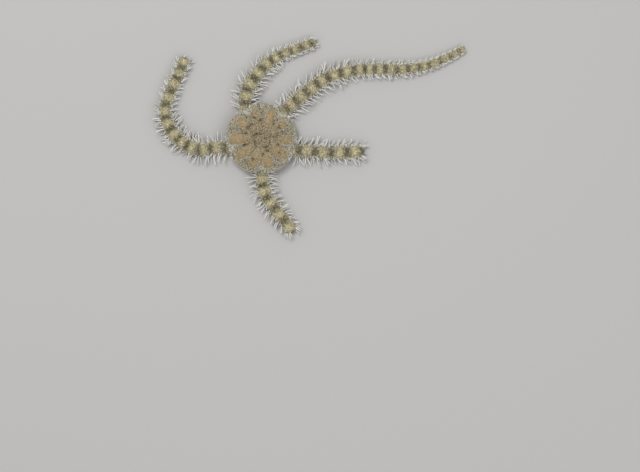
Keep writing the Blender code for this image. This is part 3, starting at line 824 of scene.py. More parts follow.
spine_glass = spine_finish()
for arm in ARMS:
    path = paths[arm.name]
    chance = np.random.default_rng(len(arm.name) * 7 + arm.lengths)
    fan = np.array(SPINE_FAN)
    rows = np.flatnonzero(path.borders[:-1] > path.free - 0.6 * MM)
    lean_of_fan = np.radians(chance.normal(0, FAN_LEAN_SPREAD, (len(path.borders), 2)))
    row, spine, side = every(rows, np.arange(len(fan)), (1, -1))
    crowding = 1 + SLIM_CROWDING * eased(1.9 * MM, 1.4 * MM, path.half_width(path.borders[row]))
    grown = chance.uniform(0, 1, len(row)) < fan[spine, 3] * crowding
    row, spine, side = row[grown], spine[grown], side[grown]
    count = len(row)
    at = path.borders[row] + chance.uniform(0.45, 0.85, count) * np.diff(path.borders)[row]
    root_turn = on_side(np.radians(fan[spine, 0] + chance.uniform(-5, 5, count)), side)
    rise = np.radians(fan[spine, 1] + chance.uniform(-5, 7, count))
    progress = np.clip((at - path.free) / (path.length - path.free), 0, 1)
    lean = arm.lean + (SPINE_END_LEAN - arm.lean) * progress**1.6
    lean = np.radians(lean + chance.normal(0, LEAN_SPREAD, count))
    lean += lean_of_fan[row, (side > 0).astype(int)]
    lean += np.radians(LAST_LEAN) * eased(1.3 * MM, 0.2 * MM, path.length - at)
    tuft = at / TUFT_PITCH + np.where(side > 0, 0.0, 0.4)
    off_tuft = tuft - np.floor(tuft) - 0.5
    at = np.minimum(at - TUFT_PULL * off_tuft * TUFT_PITCH, path.length - 0.05 * MM)
    lean += np.radians(TUFT_LEAN) * off_tuft
    # A few more stand round the blunt end.
    end_side = np.tile([1, -1], arm.end_spines)
    side = np.append(side, end_side)
    spine = np.append(spine, np.tile([1, 2], arm.end_spines))
    from_end = chance.uniform(0.10, 0.38, len(end_side)) * path.half_width(path.length)
    at = np.append(at, path.length - from_end)
    end_turn = np.radians(chance.uniform(5, 62, len(end_side)))
    root_turn = np.append(root_turn, on_side(end_turn, end_side))
    rise = np.append(rise, np.radians(chance.uniform(2, 26, len(end_side))))
    lean = np.append(lean, np.radians(chance.uniform(48, 86, len(end_side))))
    count = len(at)
    slimness = np.minimum(path.half_width(at) / FULL_SPINE_WIDTH, 1)
    progress = np.clip((at - path.free) / (path.length - path.free), 0, 1)
    full = SPINE_LENGTH * (1 - SPINE_SHORTENING * progress) * slimness**SPINE_THINNING
    length = full * fan[spine, 2] * chance.uniform(0.70, 1.08, count)
    radius = SPINE_RADIUS * slimness**0.7 * chance.uniform(0.80, 1.10, count)
    point, _, ahead = path.skin_frame(at, root_turn)
    _, right, _ = path.frame_at(at)
    level = np.cos(lean)[:, None] * right * side[:, None] + np.sin(lean)[:, None] * ahead
    direction = np.cos(rise)[:, None] * level + np.sin(rise)[:, None] * UP
    roots = point - SPINE_SUNK * direction
    bend = chance.normal(0, 0.05, count)[:, None] * ahead + chance.uniform(-0.02, 0.05, count)[:, None] * UP
    bend *= length[:, None]
    length = length + SPINE_SUNK
    tips = roots + length[:, None] * direction + bend
    clear = np.linalg.norm(tips[:, :2] - DISC_MIDDLE[:2], axis=1) > DISC_RADIUS + 0.1 * MM
    kept = clear & (tips[:, 2] > 0.12 * MM)
    points, faces = rods(roots[kept], direction[kept], length[kept], radius[kept], bend[kept])
    spots = path.spot(at, root_turn)[kept]
    reach = np.tile(ROD_REACH, kept.sum())
    tone = np.repeat(chance.uniform(0, 1, kept.sum()), len(ROD_REACH))
    band = np.repeat(path.band(at[kept]), len(ROD_REACH))
    marks = marks_of(reach, tone, band, 0)
    solid(f"{arm.name}_spines", points, faces, marks, rod_atlas(faces, spots), spine_glass, "arm_plates")


# The disc's skin: a soft puffy bag between the arms, notched where each arm comes out from under it. Its back
# is high in the middle, its rim turns under into five swollen sacs, and a slit runs along each side of every
# arm. A blue stripe of pigment lies down the middle of each sac, and the underside opens round the mouth.
NOTCH_DEPTH = 1.3 * MM
NOTCH_HALF_ANGLE = math.radians(11)
RIM_HEIGHT = 3.2 * MM
DISC_TOP = 6.02 * MM
PUFFINESS = 2.6
SAC_HEIGHT = 0.62 * MM
SAC_EDGE_HEIGHT = 1.75 * MM
SAC_SQUARENESS = 3.6
MOUTH_RADIUS = 3.7 * MM
MOUTH_ROOF = 2.3 * MM
# Where the underside's curve reaches the mouth's edge.
MOUTH_QUARTER = np.arcsin((MOUTH_RADIUS / DISC_RADIUS) ** (SAC_SQUARENESS / 2))
# The rings of the mouth's wall and roof: share of the underside's inner edge, and height in millimetres.
MOUTH_WALL = ((0.985, 0.55), (0.96, 1.3), (0.90, 2.0), (0.6, 2.25), (0.3, 2.3))
SLIT_OUT = 0.30 * MM
SLIT_HALF_WIDTH = 0.15 * MM
SLIT_DEPTH = 0.35 * MM
# How far along the arms the disc's underside is shaped by them.
UNDER_DISC = 9 * MM
DISC_COLUMNS = 440
TOP_RINGS = 62
SAC_RINGS = 66
# Dark blots on the disc's back: distance from the middle in millimetres, bearing in degrees, and reach in
# millimetres.
BLOTS = (
    (5.0, 199.6, 0.55), (6.3, 249, 0.50), (4.35, 276, 0.50), (6.7, 322, 0.50), (5.8, 30, 0.50),
    (6.1, 108, 0.55), (4.75, 127.5, 0.50), (4.75, 142.5, 0.55), (1.84, 135, 0.45), (2.4, 161, 0.35),
    (0.94, 343, 0.40), (1.76, 207, 0.38), (2.4, 224, 0.32), (5.0, 92, 0.60), (4.2, 9, 0.45), (4.4, 163, 0.40),
    (2.8, 301, 0.40), (4.0, 296, 0.38), (5.0, 338, 0.40), (5.2, 50, 0.45), (5.5, 353, 0.35),
)
# The stripe's half-width and darkness by share of the disc's radius.
STRIPE = (
    (0.47, 0.00, 0.0), (0.51, 0.055, 0.0), (0.56, 0.070, 0.05), (0.61, 0.040, 0.45), (0.66, 0.024, 0.9),
    (0.73, 0.024, 0.8), (0.80, 0.050, 0.45), (0.90, 0.066, 0.35), (1.00, 0.055, 0.2), (1.05, 0.0, 0.2),
)
# The reach of an island of the skin's unwrap.
ISLAND_REACH = 0.235
# How far the stripe's colour fades outside its edge and inside it, and its darkness on each sac.
STRIPE_FADE = (-0.030, 0.026)
STRIPE_STRENGTHS = (0.75, 1.0, 1.0, 0.9, 1.0)


def angle_between(first, second):
    """The turn from the second bearing to the first, within half a turn either way."""
    return (first - second + np.pi) % math.tau - np.pi


def nearest_of(bearing, listed):
    """The angle to the nearest of the listed bearings, and that one's number."""
    off = np.abs([angle_between(bearing, one) for one in listed])
    return off.min(axis=0), off.argmin(axis=0)


NOTCHES = [math.atan2(arm.route[0][1], arm.route[0][0]) for arm in ARMS]
SACS = [math.radians(arm.bearing) + SECTOR / 2 for arm in ARMS]


def outline_radius(bearing):
    """The disc's radius by bearing: a circle less a bell-shaped notch at every arm."""
    dents = sum(np.exp(-((angle_between(bearing, notch) / NOTCH_HALF_ANGLE) ** 2)) for notch in NOTCHES)
    return DISC_RADIUS - NOTCH_DEPTH * dents


def from_arms(x, y):
    """How far outside the nearest arm's side a place on the table is, from the arms' middle lines."""
    nearest = np.full(np.shape(x), np.inf)
    for path in paths.values():
        near = path.distance < UNDER_DISC
        line = path.line[near][::6] - DISC_MIDDLE[:2]
        width = path.half_width(path.distance[near][::6])
        off = np.hypot(np.subtract.outer(x, line[:, 0]), np.subtract.outer(y, line[:, 1])) - width
        nearest = np.minimum(nearest, off.min(axis=-1))
    return nearest


def disc_skin(bend, bearing):
    """Points of the disc's skin, how deep the slits are there, and the share of the radius. bend is nought
    at the middle of the back, 1 at the rim and 2 at the mouth's edge. The back is a superellipse from the
    rim's height up to the top, with low folds, and the underside a squarer one down to the sacs. Near an arm
    the underside is lifted to the arm's shoulder, and dips inwards along the slit beside it."""
    radius = outline_radius(bearing)
    lower = bend > 1
    quarter = np.clip(np.where(lower, 2 - bend, bend), 0, 1) * np.pi / 2
    power = np.where(lower, SAC_SQUARENESS, PUFFINESS)
    from_mouth = MOUTH_QUARTER + (np.pi / 2 - MOUTH_QUARTER) * quarter / (np.pi / 2)
    quarter = np.where(lower, from_mouth, quarter)
    share = np.sin(quarter) ** (2 / power)
    rest = np.cos(quarter) ** (2 / power)
    x = share * radius * np.cos(bearing)
    y = share * radius * np.sin(bearing)
    folds = np.sin(x / (0.52 * MM) + 1.3 * np.sin(y / (0.9 * MM))) * np.sin(y / (0.61 * MM) + 0.4)
    wedge = np.cos(5 * (bearing - SACS[0]))
    back = RIM_HEIGHT + (DISC_TOP - RIM_HEIGHT) * rest
    back += (0.035 * folds - 0.12 * wedge * share**2 * (1 - share**6)) * MM * eased(0.0, 0.3, share)
    beside = from_arms(x, y)
    lift = np.exp(-((np.clip(beside, 0, None) / (0.55 * MM)) ** 2))
    low = SAC_HEIGHT + (SAC_EDGE_HEIGHT - SAC_HEIGHT) * lift
    slit = np.exp(-(((beside - SLIT_OUT) / SLIT_HALF_WIDTH) ** 2))
    slit *= eased(0.47, 0.52, share) * (0.25 + 0.75 * eased(0.80, 0.55, share)) * eased(0.96, 0.86, share)
    low = low + SLIT_DEPTH * slit + 0.02 * folds * MM
    under = RIM_HEIGHT + (low - RIM_HEIGHT) * rest
    return np.stack([x, y, np.where(lower, under, back)], axis=-1) + DISC_MIDDLE, slit * lower, share


def skin_normal(bend, bearing):
    """Points of the disc's skin with outward normals, from small steps both ways."""
    point = disc_skin(bend, bearing)[0]
    down = disc_skin(bend + 0.004, bearing)[0] - disc_skin(bend - 0.004, bearing)[0]
    round_it = disc_skin(bend, bearing + 0.01)[0] - disc_skin(bend, bearing - 0.01)[0]
    return point, unit(np.cross(down, round_it))


def disc_spot(bend, bearing):
    """A place on the skin's unwrap: the back is a round island on the left and the underside one on the
    right, each with its bearing kept and the rim as its edge."""
    top = np.asarray(bend) <= 1
    reach = ISLAND_REACH * np.where(top, bend, 2 - np.asarray(bend))
    return np.stack([np.where(top, 0.25, 0.75) + reach * np.cos(bearing), 0.5 + reach * np.sin(bearing)], -1)


def blots(x, y):
    """How dark the pigment is at a place from the disc's middle: bells round the listed places, which two
    waves across each other make ragged."""
    dark = np.zeros_like(x)
    x, y = x + 0.16 * MM * np.sin(y / (0.23 * MM)), y + 0.16 * MM * np.sin(x / (0.29 * MM))
    for reach, bearing, size in BLOTS:
        middle = reach * MM * np.array([math.cos(math.radians(bearing)), math.sin(math.radians(bearing))])
        dark += np.exp(-((x - middle[0]) ** 2 + (y - middle[1]) ** 2) / (size * MM) ** 2)
    return np.clip(dark, 0, 1)


def disc_hide_finish():
    """Marks: back rather than underside, how far out on the back or the stripe underneath, how dark the blots
    or the stripe are, and the slits and the mouth, which take painted shade."""
    finish = Finish("disc_hide", 0.6, Specular_IOR_Level=0.15)
    back, stripe, dark, hollow_shade = finish.marks()
    mottle = finish.noise(1.6 * MM, 3.0)
    veins = finish.noise(0.45 * MM, 4.0)
    grain = finish.noise(0.12 * MM, 2.0)
    middle = finish.mix(finish.step(0.35, 0.7, mottle), (0.155, 0.125, 0.076), (0.200, 0.163, 0.102))
    top = finish.mix(finish.step(0.25, 0.60, stripe), middle, (0.165, 0.150, 0.105))
    top = finish.mix(finish.step(0.50, 0.62, grain) * 0.60, top, (0.032, 0.029, 0.021))
    top = finish.mix(finish.step(0.3, 1.0, dark + 1.0 * (veins - 0.5)) * 0.6, top, (0.032, 0.029, 0.021))
    sac = finish.mix(finish.step(0.35, 0.65, mottle), (0.60, 0.44, 0.35), (0.64, 0.52, 0.46))
    sac = finish.mix(finish.step(0.55, 0.75, veins) * 0.5, sac, (0.66, 0.42, 0.28))
    blue = finish.mix(finish.step(0.3, 0.7, veins), (0.105, 0.138, 0.265), (0.225, 0.270, 0.395))
    blue = finish.mix(finish.step(0.0, 1.0, dark), blue, (0.050, 0.058, 0.12))
    under = finish.mix(finish.step(0.25, 0.80, stripe + 0.7 * (veins - 0.5)), sac, blue)
    under = finish.mix(finish.step(0.0, 0.5, back * -1), under, (0.74, 0.70, 0.58))
    colour = finish.mix(finish.step(0.3, 0.7, back), under, top)
    # Painted shade: the slits beside the arms and the mouth's wall and roof go dark brown, for the shade in
    # those hollows.
    colour = finish.mix(finish.step(0.45, 0.95, hollow_shade), colour, (0.055, 0.030, 0.018))
    return finish.paint(colour, grain, 0.02 * MM)


bends = np.concatenate([np.linspace(0, 1, TOP_RINGS + 1)[1:], 1 + np.linspace(0, 1, SAC_RINGS + 1)[1:]])
bearings = np.linspace(0, math.tau, DISC_COLUMNS, endpoint=False)
grid_bend, grid_bearing = np.meshgrid(bends, bearings, indexing="ij")
points, slit, share = disc_skin(grid_bend, grid_bearing)
# A stripe wanders a little to either side of its sac's middle line.
off_sac, which = nearest_of(grid_bearing, SACS)
radial = share * np.cos(off_sac)
aside = share * np.sin(angle_between(grid_bearing, np.take(SACS, which)))
aside = aside + 0.012 * np.sin(9 * radial + 2.1 * which)
reach, half, darkness = np.array(STRIPE).T
stripe = eased(*STRIPE_FADE, np.interp(radial, reach, half) - np.abs(aside)) * (grid_bend > 0.99)
dark = np.interp(radial, reach, darkness) * np.take(STRIPE_STRENGTHS, which)
back = eased(1.10, 0.97, grid_bend) - eased(0.50, 0.465, share) * (grid_bend > 1.2)
top = grid_bend <= 1
stripe = np.where(top, share, stripe)
dark = np.where(top, blots(points[..., 0] - DISC_MIDDLE[0], points[..., 1] - DISC_MIDDLE[1]), dark)
# The fourth mark is the slits' depth, which also paints shade into them.
marks = marks_of(back, stripe, dark, slit)
# The mouth's wall and roof: rings from the underside's inner edge up to a point over the middle. The first
# one stays above that edge where an arm lifts it.
last = points[-1] - DISC_MIDDLE
for scale, height in MOUTH_WALL:
    ring = last * scale
    ring[:, 2] = height * MM
    if height < 1:
        ring[:, 2] = np.maximum(height * MM, last[:, 2] * (1.5 - 0.5 * scale))
    points = np.concatenate([points, (ring + DISC_MIDDLE)[None]])
    # A fourth mark of one paints the mouth's wall and roof dark, as painted shade.
    marks = np.concatenate([marks, np.tile([0.0, 0, 0, 1.0], (1, DISC_COLUMNS, 1))])
ends = np.array([[0, 0, DISC_TOP], [0, 0, MOUTH_ROOF]]) + DISC_MIDDLE
points = np.concatenate([points.reshape(-1, 3), ends])
marks = np.concatenate([marks.reshape(-1, 4), [[1, 0, 0, 0], [0, 0, 0, 1]]])
rings = len(bends) + len(MOUTH_WALL)
faces, atlas = tube(rings, DISC_COLUMNS)
# A face of the back keeps to the left island of the bake's map, and any other to the right one.
ring_bend = np.concatenate([[0], bends, 2 + 0.001 * np.arange(1, len(MOUTH_WALL) + 1), [2.01]])
for place in atlas:
    bend = np.interp(place[..., 1] * (rings + 1), np.arange(rings + 2), ring_bend)
    whole = np.where(bend.mean(axis=1, keepdims=True) < 1, np.minimum(bend, 1), np.maximum(bend, 1.00001))
    place[...] = disc_spot(np.minimum(whole, 2), place[..., 0] * math.tau)
disc_hide = solid("disc_hide", points, faces, marks, atlas, disc_hide_finish(), "disc_skin")
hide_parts("disc")


# The radial shields: ten calcite plates under thin tan skin, in pairs over the arms' roots. Each is a drop,
# narrower towards the middle and broad and round near the rim, and swells a little above the skin round it.
# Each shield has the bearing and distance of its inner end and of its outer one, in degrees and millimetres
# from the disc's middle, its half-width, and how orange it is.
SHIELDS = (
    (187, 3.0, 180.5, 9.0, 1.45, 1.00), (224, 3.1, 217, 8.9, 1.30, 0.85),
    (259, 3.0, 252.0, 8.6, 1.30, 0.80), (282, 3.1, 286, 8.8, 1.35, 0.95),
    (326, 3.1, 322, 8.9, 1.30, 0.95), (344, 3.2, 359, 8.9, 1.30, 0.70),
    (40, 3.0, 32, 8.6, 1.25, 0.65), (62, 3.0, 67.5, 8.7, 1.30, 1.00),
    (108, 3.2, 102.5, 8.4, 1.25, 0.60), (134, 3.2, 141, 8.6, 1.30, 0.75),
)
SHIELD_SWELL = 0.15 * MM
SHIELD_SUNK = 0.35 * MM
SHIELD_CLEARANCE = 0.03 * MM
SHIELD_COLUMNS = 56
SHIELD_RINGS = 13
# The rings round a shield's edge that close it underneath: reach, and share of its full depth.
SHIELD_SKIRT = ((1.03, 0.3), (1.02, 1.0), (0.6, 1.0))
# Where along a drop the middle of its rings lies, the power by which it widens, and its curve's greatest
# value.
DROP_MIDDLE = 0.6
DROP_POWER = 0.36
DROP_BREADTH = 0.82


class Shield:
    """A drop with its own axes on the table. Its half-width grows from its narrow inner end by a power of the
    share of its length, and closes round by the root of one less the share's sixth power."""

    def __init__(self, inner_bearing, inner, outer_bearing, outer, half_width, orange):
        inner_turn, outer_turn = math.radians(inner_bearing), math.radians(outer_bearing)
        self.start = inner * MM * np.array([math.cos(inner_turn), math.sin(inner_turn)])
        end = outer * MM * np.array([math.cos(outer_turn), math.sin(outer_turn)])
        self.length = np.linalg.norm(end - self.start)
        self.along = (end - self.start) / self.length
        self.across = np.array([-self.along[1], self.along[0]])
        self.half_width = half_width * MM
        self.orange = orange

    def width(self, share):
        """Half the drop's width at a share of its length."""
        share = np.clip(share, 0, 1)
        return self.half_width / DROP_BREADTH * share**DROP_POWER * np.sqrt(1 - share**6)

    def place(self, share, aside):
        """x and y from the disc's middle, for a share of the length and a distance to the left."""
        flat = self.start + np.multiply.outer(share * self.length, self.along)
        return flat + np.asarray(aside)[..., None] * self.across

    def reach(self, x, y):
        """How far a place is from the shield's middle, as a share of the way to its outline: it is at the
        reach by which the outline has to be scaled about the middle to take it in. Also gives the place's
        share of the length. Places farther out than 1.6 are at two."""
        flat = np.stack([x, y], axis=-1) - self.start
        share = (flat @ self.along) / self.length
        trial = np.linspace(0.02, 1.6, 80)
        drawn = DROP_MIDDLE + (share[..., None] - DROP_MIDDLE) / trial
        within = np.abs(flat @ self.across)[..., None] <= trial * self.width(drawn)
        within &= (drawn > 0) & (drawn < 1)
        return np.where(within.any(axis=-1), trial[within.argmax(axis=-1)], 2.0), share


def shield_lift(reach, share):
    """How high a shield stands over the skin: a dome by the cube of the reach, low at its inner end."""
    return SHIELD_SWELL * (1 - np.clip(reach, 0, 1) ** 3) * eased(-0.1, 0.5, share)


def shield_field(x, y):
    """How orange the skin is at a place, which fades round each shield and at its inner end, and how high the
    shield there stands."""
    orange, lift = np.zeros_like(x), np.zeros_like(x)
    for shield in shields:
        reach, share = shield.reach(x, y)
        orange = np.maximum(orange, shield.orange * eased(1.25, 0.60, reach) * eased(-0.45, 0.45, share))
        lift = np.maximum(lift, shield_lift(reach, share))
    return orange, lift


def on_back(x, y):
    """Points of the disc's back over places from its middle, with their normals, bends and bearings."""
    bearing = np.arctan2(y, x)
    share = np.clip(np.hypot(x, y) / outline_radius(bearing), 0, 0.9999)
    bend = np.arcsin(share ** (PUFFINESS / 2)) / (np.pi / 2)
    point, normal = skin_normal(bend, bearing)
    return point, normal, bend, bearing


def shield_finish():
    """Marks: outer share of the drop, its edge, how orange it is, and the pigment's blots."""
    finish = Finish("shield_bone", 0.5, Specular_IOR_Level=0.2)
    outer, edge, orange, dark = finish.marks()
    mottle = finish.noise(1.1 * MM, 3.0)
    speckle = finish.noise(0.14 * MM, 2.5, 0.65)
    fleck = finish.noise(0.36 * MM, 2.0, 0.6)
    warm = finish.step(0.10, 1.0, orange * (0.50 + 0.45 * outer) + 0.7 * (mottle - 0.5))
    plain = finish.mix(finish.step(0.3, 0.7, mottle), (0.150, 0.122, 0.072), (0.200, 0.165, 0.100))
    colour = finish.mix(warm * 0.9, plain, (0.270, 0.185, 0.090))
    colour = finish.mix(finish.step(0.42, 0.30, fleck) * 0.45, colour, (0.31, 0.245, 0.14))
    colour = finish.mix(finish.step(0.50, 0.64, speckle) * 0.45, colour, (0.085, 0.064, 0.036))
    specks = finish.spots(0.27 * MM, 0.33)
    colour = finish.mix(specks * finish.step(0.40, 0.60, fleck) * 0.85, colour, (0.030, 0.024, 0.015))
    colour = finish.mix(finish.step(0.55, 1.0, edge) * 0.8, colour, (0.165, 0.145, 0.095))
    pigment = finish.step(0.1, 0.8, dark + 1.0 * (fleck - 0.5))
    colour = finish.mix(pigment * 0.6, colour, (0.040, 0.035, 0.024))
    return finish.paint(colour, speckle, 0.03 * MM)


shields = [Shield(*row) for row in SHIELDS]
shield_bone = shield_finish()
skirt_reach, skirt_depth = np.array(SHIELD_SKIRT).T
reaches = np.append(np.linspace(0.1, 1, SHIELD_RINGS), skirt_reach)
depths = np.append(np.zeros(SHIELD_RINGS), skirt_depth)
turn = np.linspace(0, math.tau, SHIELD_COLUMNS, endpoint=False)
outline_share = 0.5 - 0.5 * np.cos(turn)
share = DROP_MIDDLE + reaches[:, None] * (outline_share - DROP_MIDDLE)
share = np.append(share, [DROP_MIDDLE, DROP_MIDDLE])
reach = np.append(np.repeat(reaches, SHIELD_COLUMNS), [0, 0])
depth = np.append(np.repeat(depths, SHIELD_COLUMNS), [0, 1])
faces, _ = tube(len(reaches), SHIELD_COLUMNS)
parts = []
for shield in shields:
    aside = reaches[:, None] * np.sign(np.sin(turn)) * shield.width(outline_share)
    flat = shield.place(share, np.append(aside, [0, 0]))
    point, normal, bend, bearing = on_back(flat[:, 0], flat[:, 1])
    height = SHIELD_CLEARANCE + shield_lift(reach, share) - SHIELD_SUNK * depth
    marks = marks_of(share, reach, shield.orange, blots(flat[:, 0], flat[:, 1]))
    parts.append((point + height[:, None] * normal, marks, disc_spot(bend, bearing)))
solid("radial_shields", *joined(parts, faces), shield_bone, "disc_skin")


# The granules: small round calcite beads that cover the disc's back and thin out under its rim. They are tan
# in the middle, grey and white with black ones among them in the wedges towards the rim, and whitish at the
# notches. Those on the shields, which are a piece of their own, are lower and tan or orange, with a line of
# pale beads round each shield.
GRANULE_PITCH = 0.236 * MM
GRANULE_RADIUS = 0.129 * MM
LINE_PITCH = 0.21 * MM
LINE_RADIUS = 0.105 * MM
# How far round the skin the rings of granules go, in bends, and where it counts as under the rim.
LAST_BEND = 1.62
UNDER_RIM = 1.03


def granule_finish():
    """Marks: how far out it is, its own tone, its tint, from -1 for the darkest pigment to 1 for whitish, and
    how orange it is."""
    finish = Finish("granules", 0.5, Specular_IOR_Level=0.15)
    outer, tone, tint, orange = finish.marks()
    mottle = finish.noise(1.3 * MM, 3.0)
    grain = finish.noise(0.06 * MM, 2.0)
    fleck = finish.noise(0.5 * MM, 2.0, 0.6)
    own = tone + 0.30 * (fleck - 0.5)
    rim = finish.step(0.36, 0.82, outer)
    ragged = 1.9 * (mottle - 0.5) + 1.0 * (fleck - 0.5)
    tan = finish.step(0.05, 0.5, orange + 0.5 * (fleck - 0.5))
    warm = finish.step(0.30, 1.20, orange + ragged * finish.step(0.1, 0.4, orange))
    middle = finish.mix(finish.step(0.35, 0.65, mottle), (0.235, 0.185, 0.110), (0.305, 0.246, 0.154))
    wedge = finish.mix(finish.step(0.35, 0.65, mottle), (0.290, 0.262, 0.180), (0.350, 0.324, 0.238))
    colour = finish.mix(rim, middle, wedge)
    colour = finish.mix(tan * 0.9, colour, (0.290, 0.240, 0.150))
    colour = finish.mix(warm, colour, (0.345, 0.256, 0.140))
    pale = finish.mix(rim, (0.46, 0.395, 0.270), (0.57, 0.54, 0.435))
    pale = finish.mix(warm, pale, (0.48, 0.37, 0.215))
    colour = finish.mix(finish.step(0.62, 0.92, own) * (0.8 - 0.40 * warm), colour, pale)
    black = finish.mix(warm, (0.020, 0.019, 0.015), (0.135, 0.098, 0.056))
    colour = finish.mix(finish.step(0.34, 0.25, own) * 0.95, colour, black)
    colour = finish.mix(finish.step(0.0, 1.0, tint), colour, (0.64, 0.62, 0.54))
    pigment = finish.step(0.55, 0.90, 0.6 * (fleck - 0.5) + 1.6 * (tone - 0.5) - 0.9 * tint)
    colour = finish.mix(pigment * 0.92, colour, (0.020, 0.019, 0.014))
    return finish.paint(colour, grain, 0.015 * MM)


chance = np.random.default_rng(31)
fine_bend = np.linspace(0, LAST_BEND, 1200)
arc = run_along(disc_skin(fine_bend, np.full_like(fine_bend, SACS[0]))[0])
ring_bends = np.interp(np.arange(0.12 * MM, arc[-1], GRANULE_PITCH * ROW_SPACING), arc, fine_bend)
beads = []
for bend in ring_bends:
    first = disc_skin(np.array([bend]), np.array([SACS[0]]))[0][0] - DISC_MIDDLE
    count = max(int(math.tau * np.hypot(first[0], first[1]) / GRANULE_PITCH), 1)
    turn = (np.arange(count) + chance.uniform(0, 1)) * math.tau / count
    turn += chance.uniform(-0.28, 0.28, count) * math.tau / count
    beads.append(np.stack([np.full(count, bend), turn], axis=-1))
beads = np.concatenate(beads)
beads[:, 0] += chance.uniform(-0.25, 0.25, len(beads)) * np.median(np.diff(ring_bends))
beads[:, 0] = np.abs(beads[:, 0])
point, normal = skin_normal(beads[:, 0], beads[:, 1])
flat = point - DISC_MIDDLE
buried = (from_arms(flat[:, 0], flat[:, 1]) < 0.35 * MM) & (beads[:, 0] > 1.0)
thinned = chance.uniform(1.01, 1.30, len(point)) < beads[:, 0]
kept = ~buried & ~thinned
point, normal, beads, flat = point[kept], normal[kept], beads[kept], flat[kept]
# Under the rim there are no dark or black ones.
bead_tone = chance.uniform(0, 1, len(point))
bead_tone = np.where(beads[:, 0] > UNDER_RIM, 0.42 + 0.5 * bead_tone, bead_tone)
size = GRANULE_RADIUS * chance.uniform(0.75, 1.15, len(point)) * (1 - 0.45 * eased(1.0, 1.5, beads[:, 0]))
size *= np.where(bead_tone < 0.33, 0.80, 1.0)
notch_off, _ = nearest_of(beads[:, 1], NOTCHES)
share = np.hypot(flat[:, 0], flat[:, 1]) / outline_radius(beads[:, 1])
white = 0.8 * np.exp(-((notch_off / math.radians(10)) ** 2)) * eased(0.84, 0.98, share)
rim_white = 0.25 * eased(0.80, 0.92, share) + 0.25 * eased(0.955, 0.995, share)
white = np.maximum(white, rim_white) * chance.uniform(0.5, 1.0, len(point))
outer = np.hypot(flat[:, 0], flat[:, 1]) / DISC_RADIUS
orange, lift = shield_field(flat[:, 0], flat[:, 1])
orange, lift = orange * (beads[:, 0] < 1), lift * (beads[:, 0] < 1)
point = point + lift[:, None] * normal

# The lines of pale beads round the shields, with gaps, and none where two shields meet.
line_points = []
for shield in shields:
    turn = np.linspace(0, math.tau, 400)
    outline_share = 0.5 - 0.5 * np.cos(turn)
    edge = shield.place(outline_share, np.sign(np.sin(turn)) * (shield.width(outline_share) + 0.05 * MM))
    run = run_along(edge)
    steps = np.arange(0, run[-1], LINE_PITCH)
    line_points.append(np.stack([np.interp(steps, run, edge[:, i]) for i in (0, 1)], axis=-1))
line_flat = np.concatenate(line_points)
line_flat += chance.normal(0, 0.025, line_flat.shape) * MM
alone = np.ones(len(line_flat), bool)
for shield in shields:
    alone &= shield.reach(line_flat[:, 0], line_flat[:, 1])[0] > 0.97
line_flat = line_flat[alone & (chance.uniform(0, 1, len(line_flat)) < 0.70)]
line_point, line_normal, line_bend, line_bearing = on_back(line_flat[:, 0], line_flat[:, 1])
line_size = LINE_RADIUS * chance.uniform(0.8, 1.2, len(line_point))

all_point = np.concatenate([point, line_point])
all_normal = np.concatenate([normal, line_normal])
flatness = 0.55 - 0.15 * eased(0.0, 0.05 * MM, np.append(lift, 0 * line_size))[:, None]
axes = set_in(all_normal, [0.31, 0.95, 0.0], np.append(size, line_size), flatness)
spots = disc_spot(np.append(beads[:, 0], line_bend), np.append(beads[:, 1], line_bearing))
tone = np.append(bead_tone, chance.uniform(0.35, 0.85, len(line_point)))
outer = np.append(outer, np.full(len(line_point), 0.6))
orange = np.append(orange, np.full(len(line_point), 0.15))
tint = np.append(white, np.full(len(line_point), 0.30))
tint -= blots(all_point[:, 0] - DISC_MIDDLE[0], all_point[:, 1] - DISC_MIDDLE[1])
marks = marks_of(outer, tone, tint, orange)
on_shields = np.append(lift > 0, np.ones(len(line_size), bool))
granules = granule_finish()
for name, chosen in (("disc_granules", ~on_shields), ("shield_granules", on_shields)):
    points, faces, atlas = copies(scale_shape, all_point[chosen], axes[chosen], spots[chosen])
    own_marks = np.repeat(marks[chosen], len(scale_shape[0]), axis=0)
    solid(name, points, faces, own_marks, atlas, granules, "disc_skin")


# The spinelets at the notches: short whitish rods scattered round each arm where it leaves the disc, on the
# notch's edge and down its sides.
SPINELETS = 42
SPINELET_SUNK = 0.15 * MM
parts = []
for notch in NOTCHES:
    bearing = notch + chance.uniform(-1, 1, SPINELETS) * math.radians(20)
    bend = 1 + chance.uniform(-0.16, 0.16, SPINELETS)
    root, normal = skin_normal(bend, bearing)
    way = normal + 0.75 * chance.normal(0, 1, normal.shape)
    way[:, 2] = np.abs(way[:, 2]) * 0.5
    parts.append((root, unit(way), disc_spot(bend, bearing)))
roots, ways, spots = (np.concatenate(part) for part in zip(*parts))
lengths = chance.uniform(0.30, 1.10, len(roots)) * MM
radii = chance.uniform(0.07, 0.13, len(roots)) * MM
points, faces = rods(roots - SPINELET_SUNK * ways, ways, lengths, radii, 0 * ways)
reach = np.tile(ROD_REACH, len(roots))
tone = np.repeat(chance.uniform(0, 1, len(roots)), len(ROD_REACH))
marks = marks_of(0.3 + 0.7 * reach, tone, 0.5, 0)
solid("notch_spinelets", points, faces, marks, rod_atlas(faces, spots), spine_glass, "disc_skin")


# The mouth's frame: five jaws of cream calcite between the arms, pointing at the middle. A slit lies down
# each one behind its tip, painted dark for the shade in it, and between two jaws a drop-shaped gap shows the
# brown lining of the mouth.
JAW_BOTTOM = 0.25 * MM
JAW_MIDDLE = 1.15 * MM
JAW_TOP = 2.0 * MM
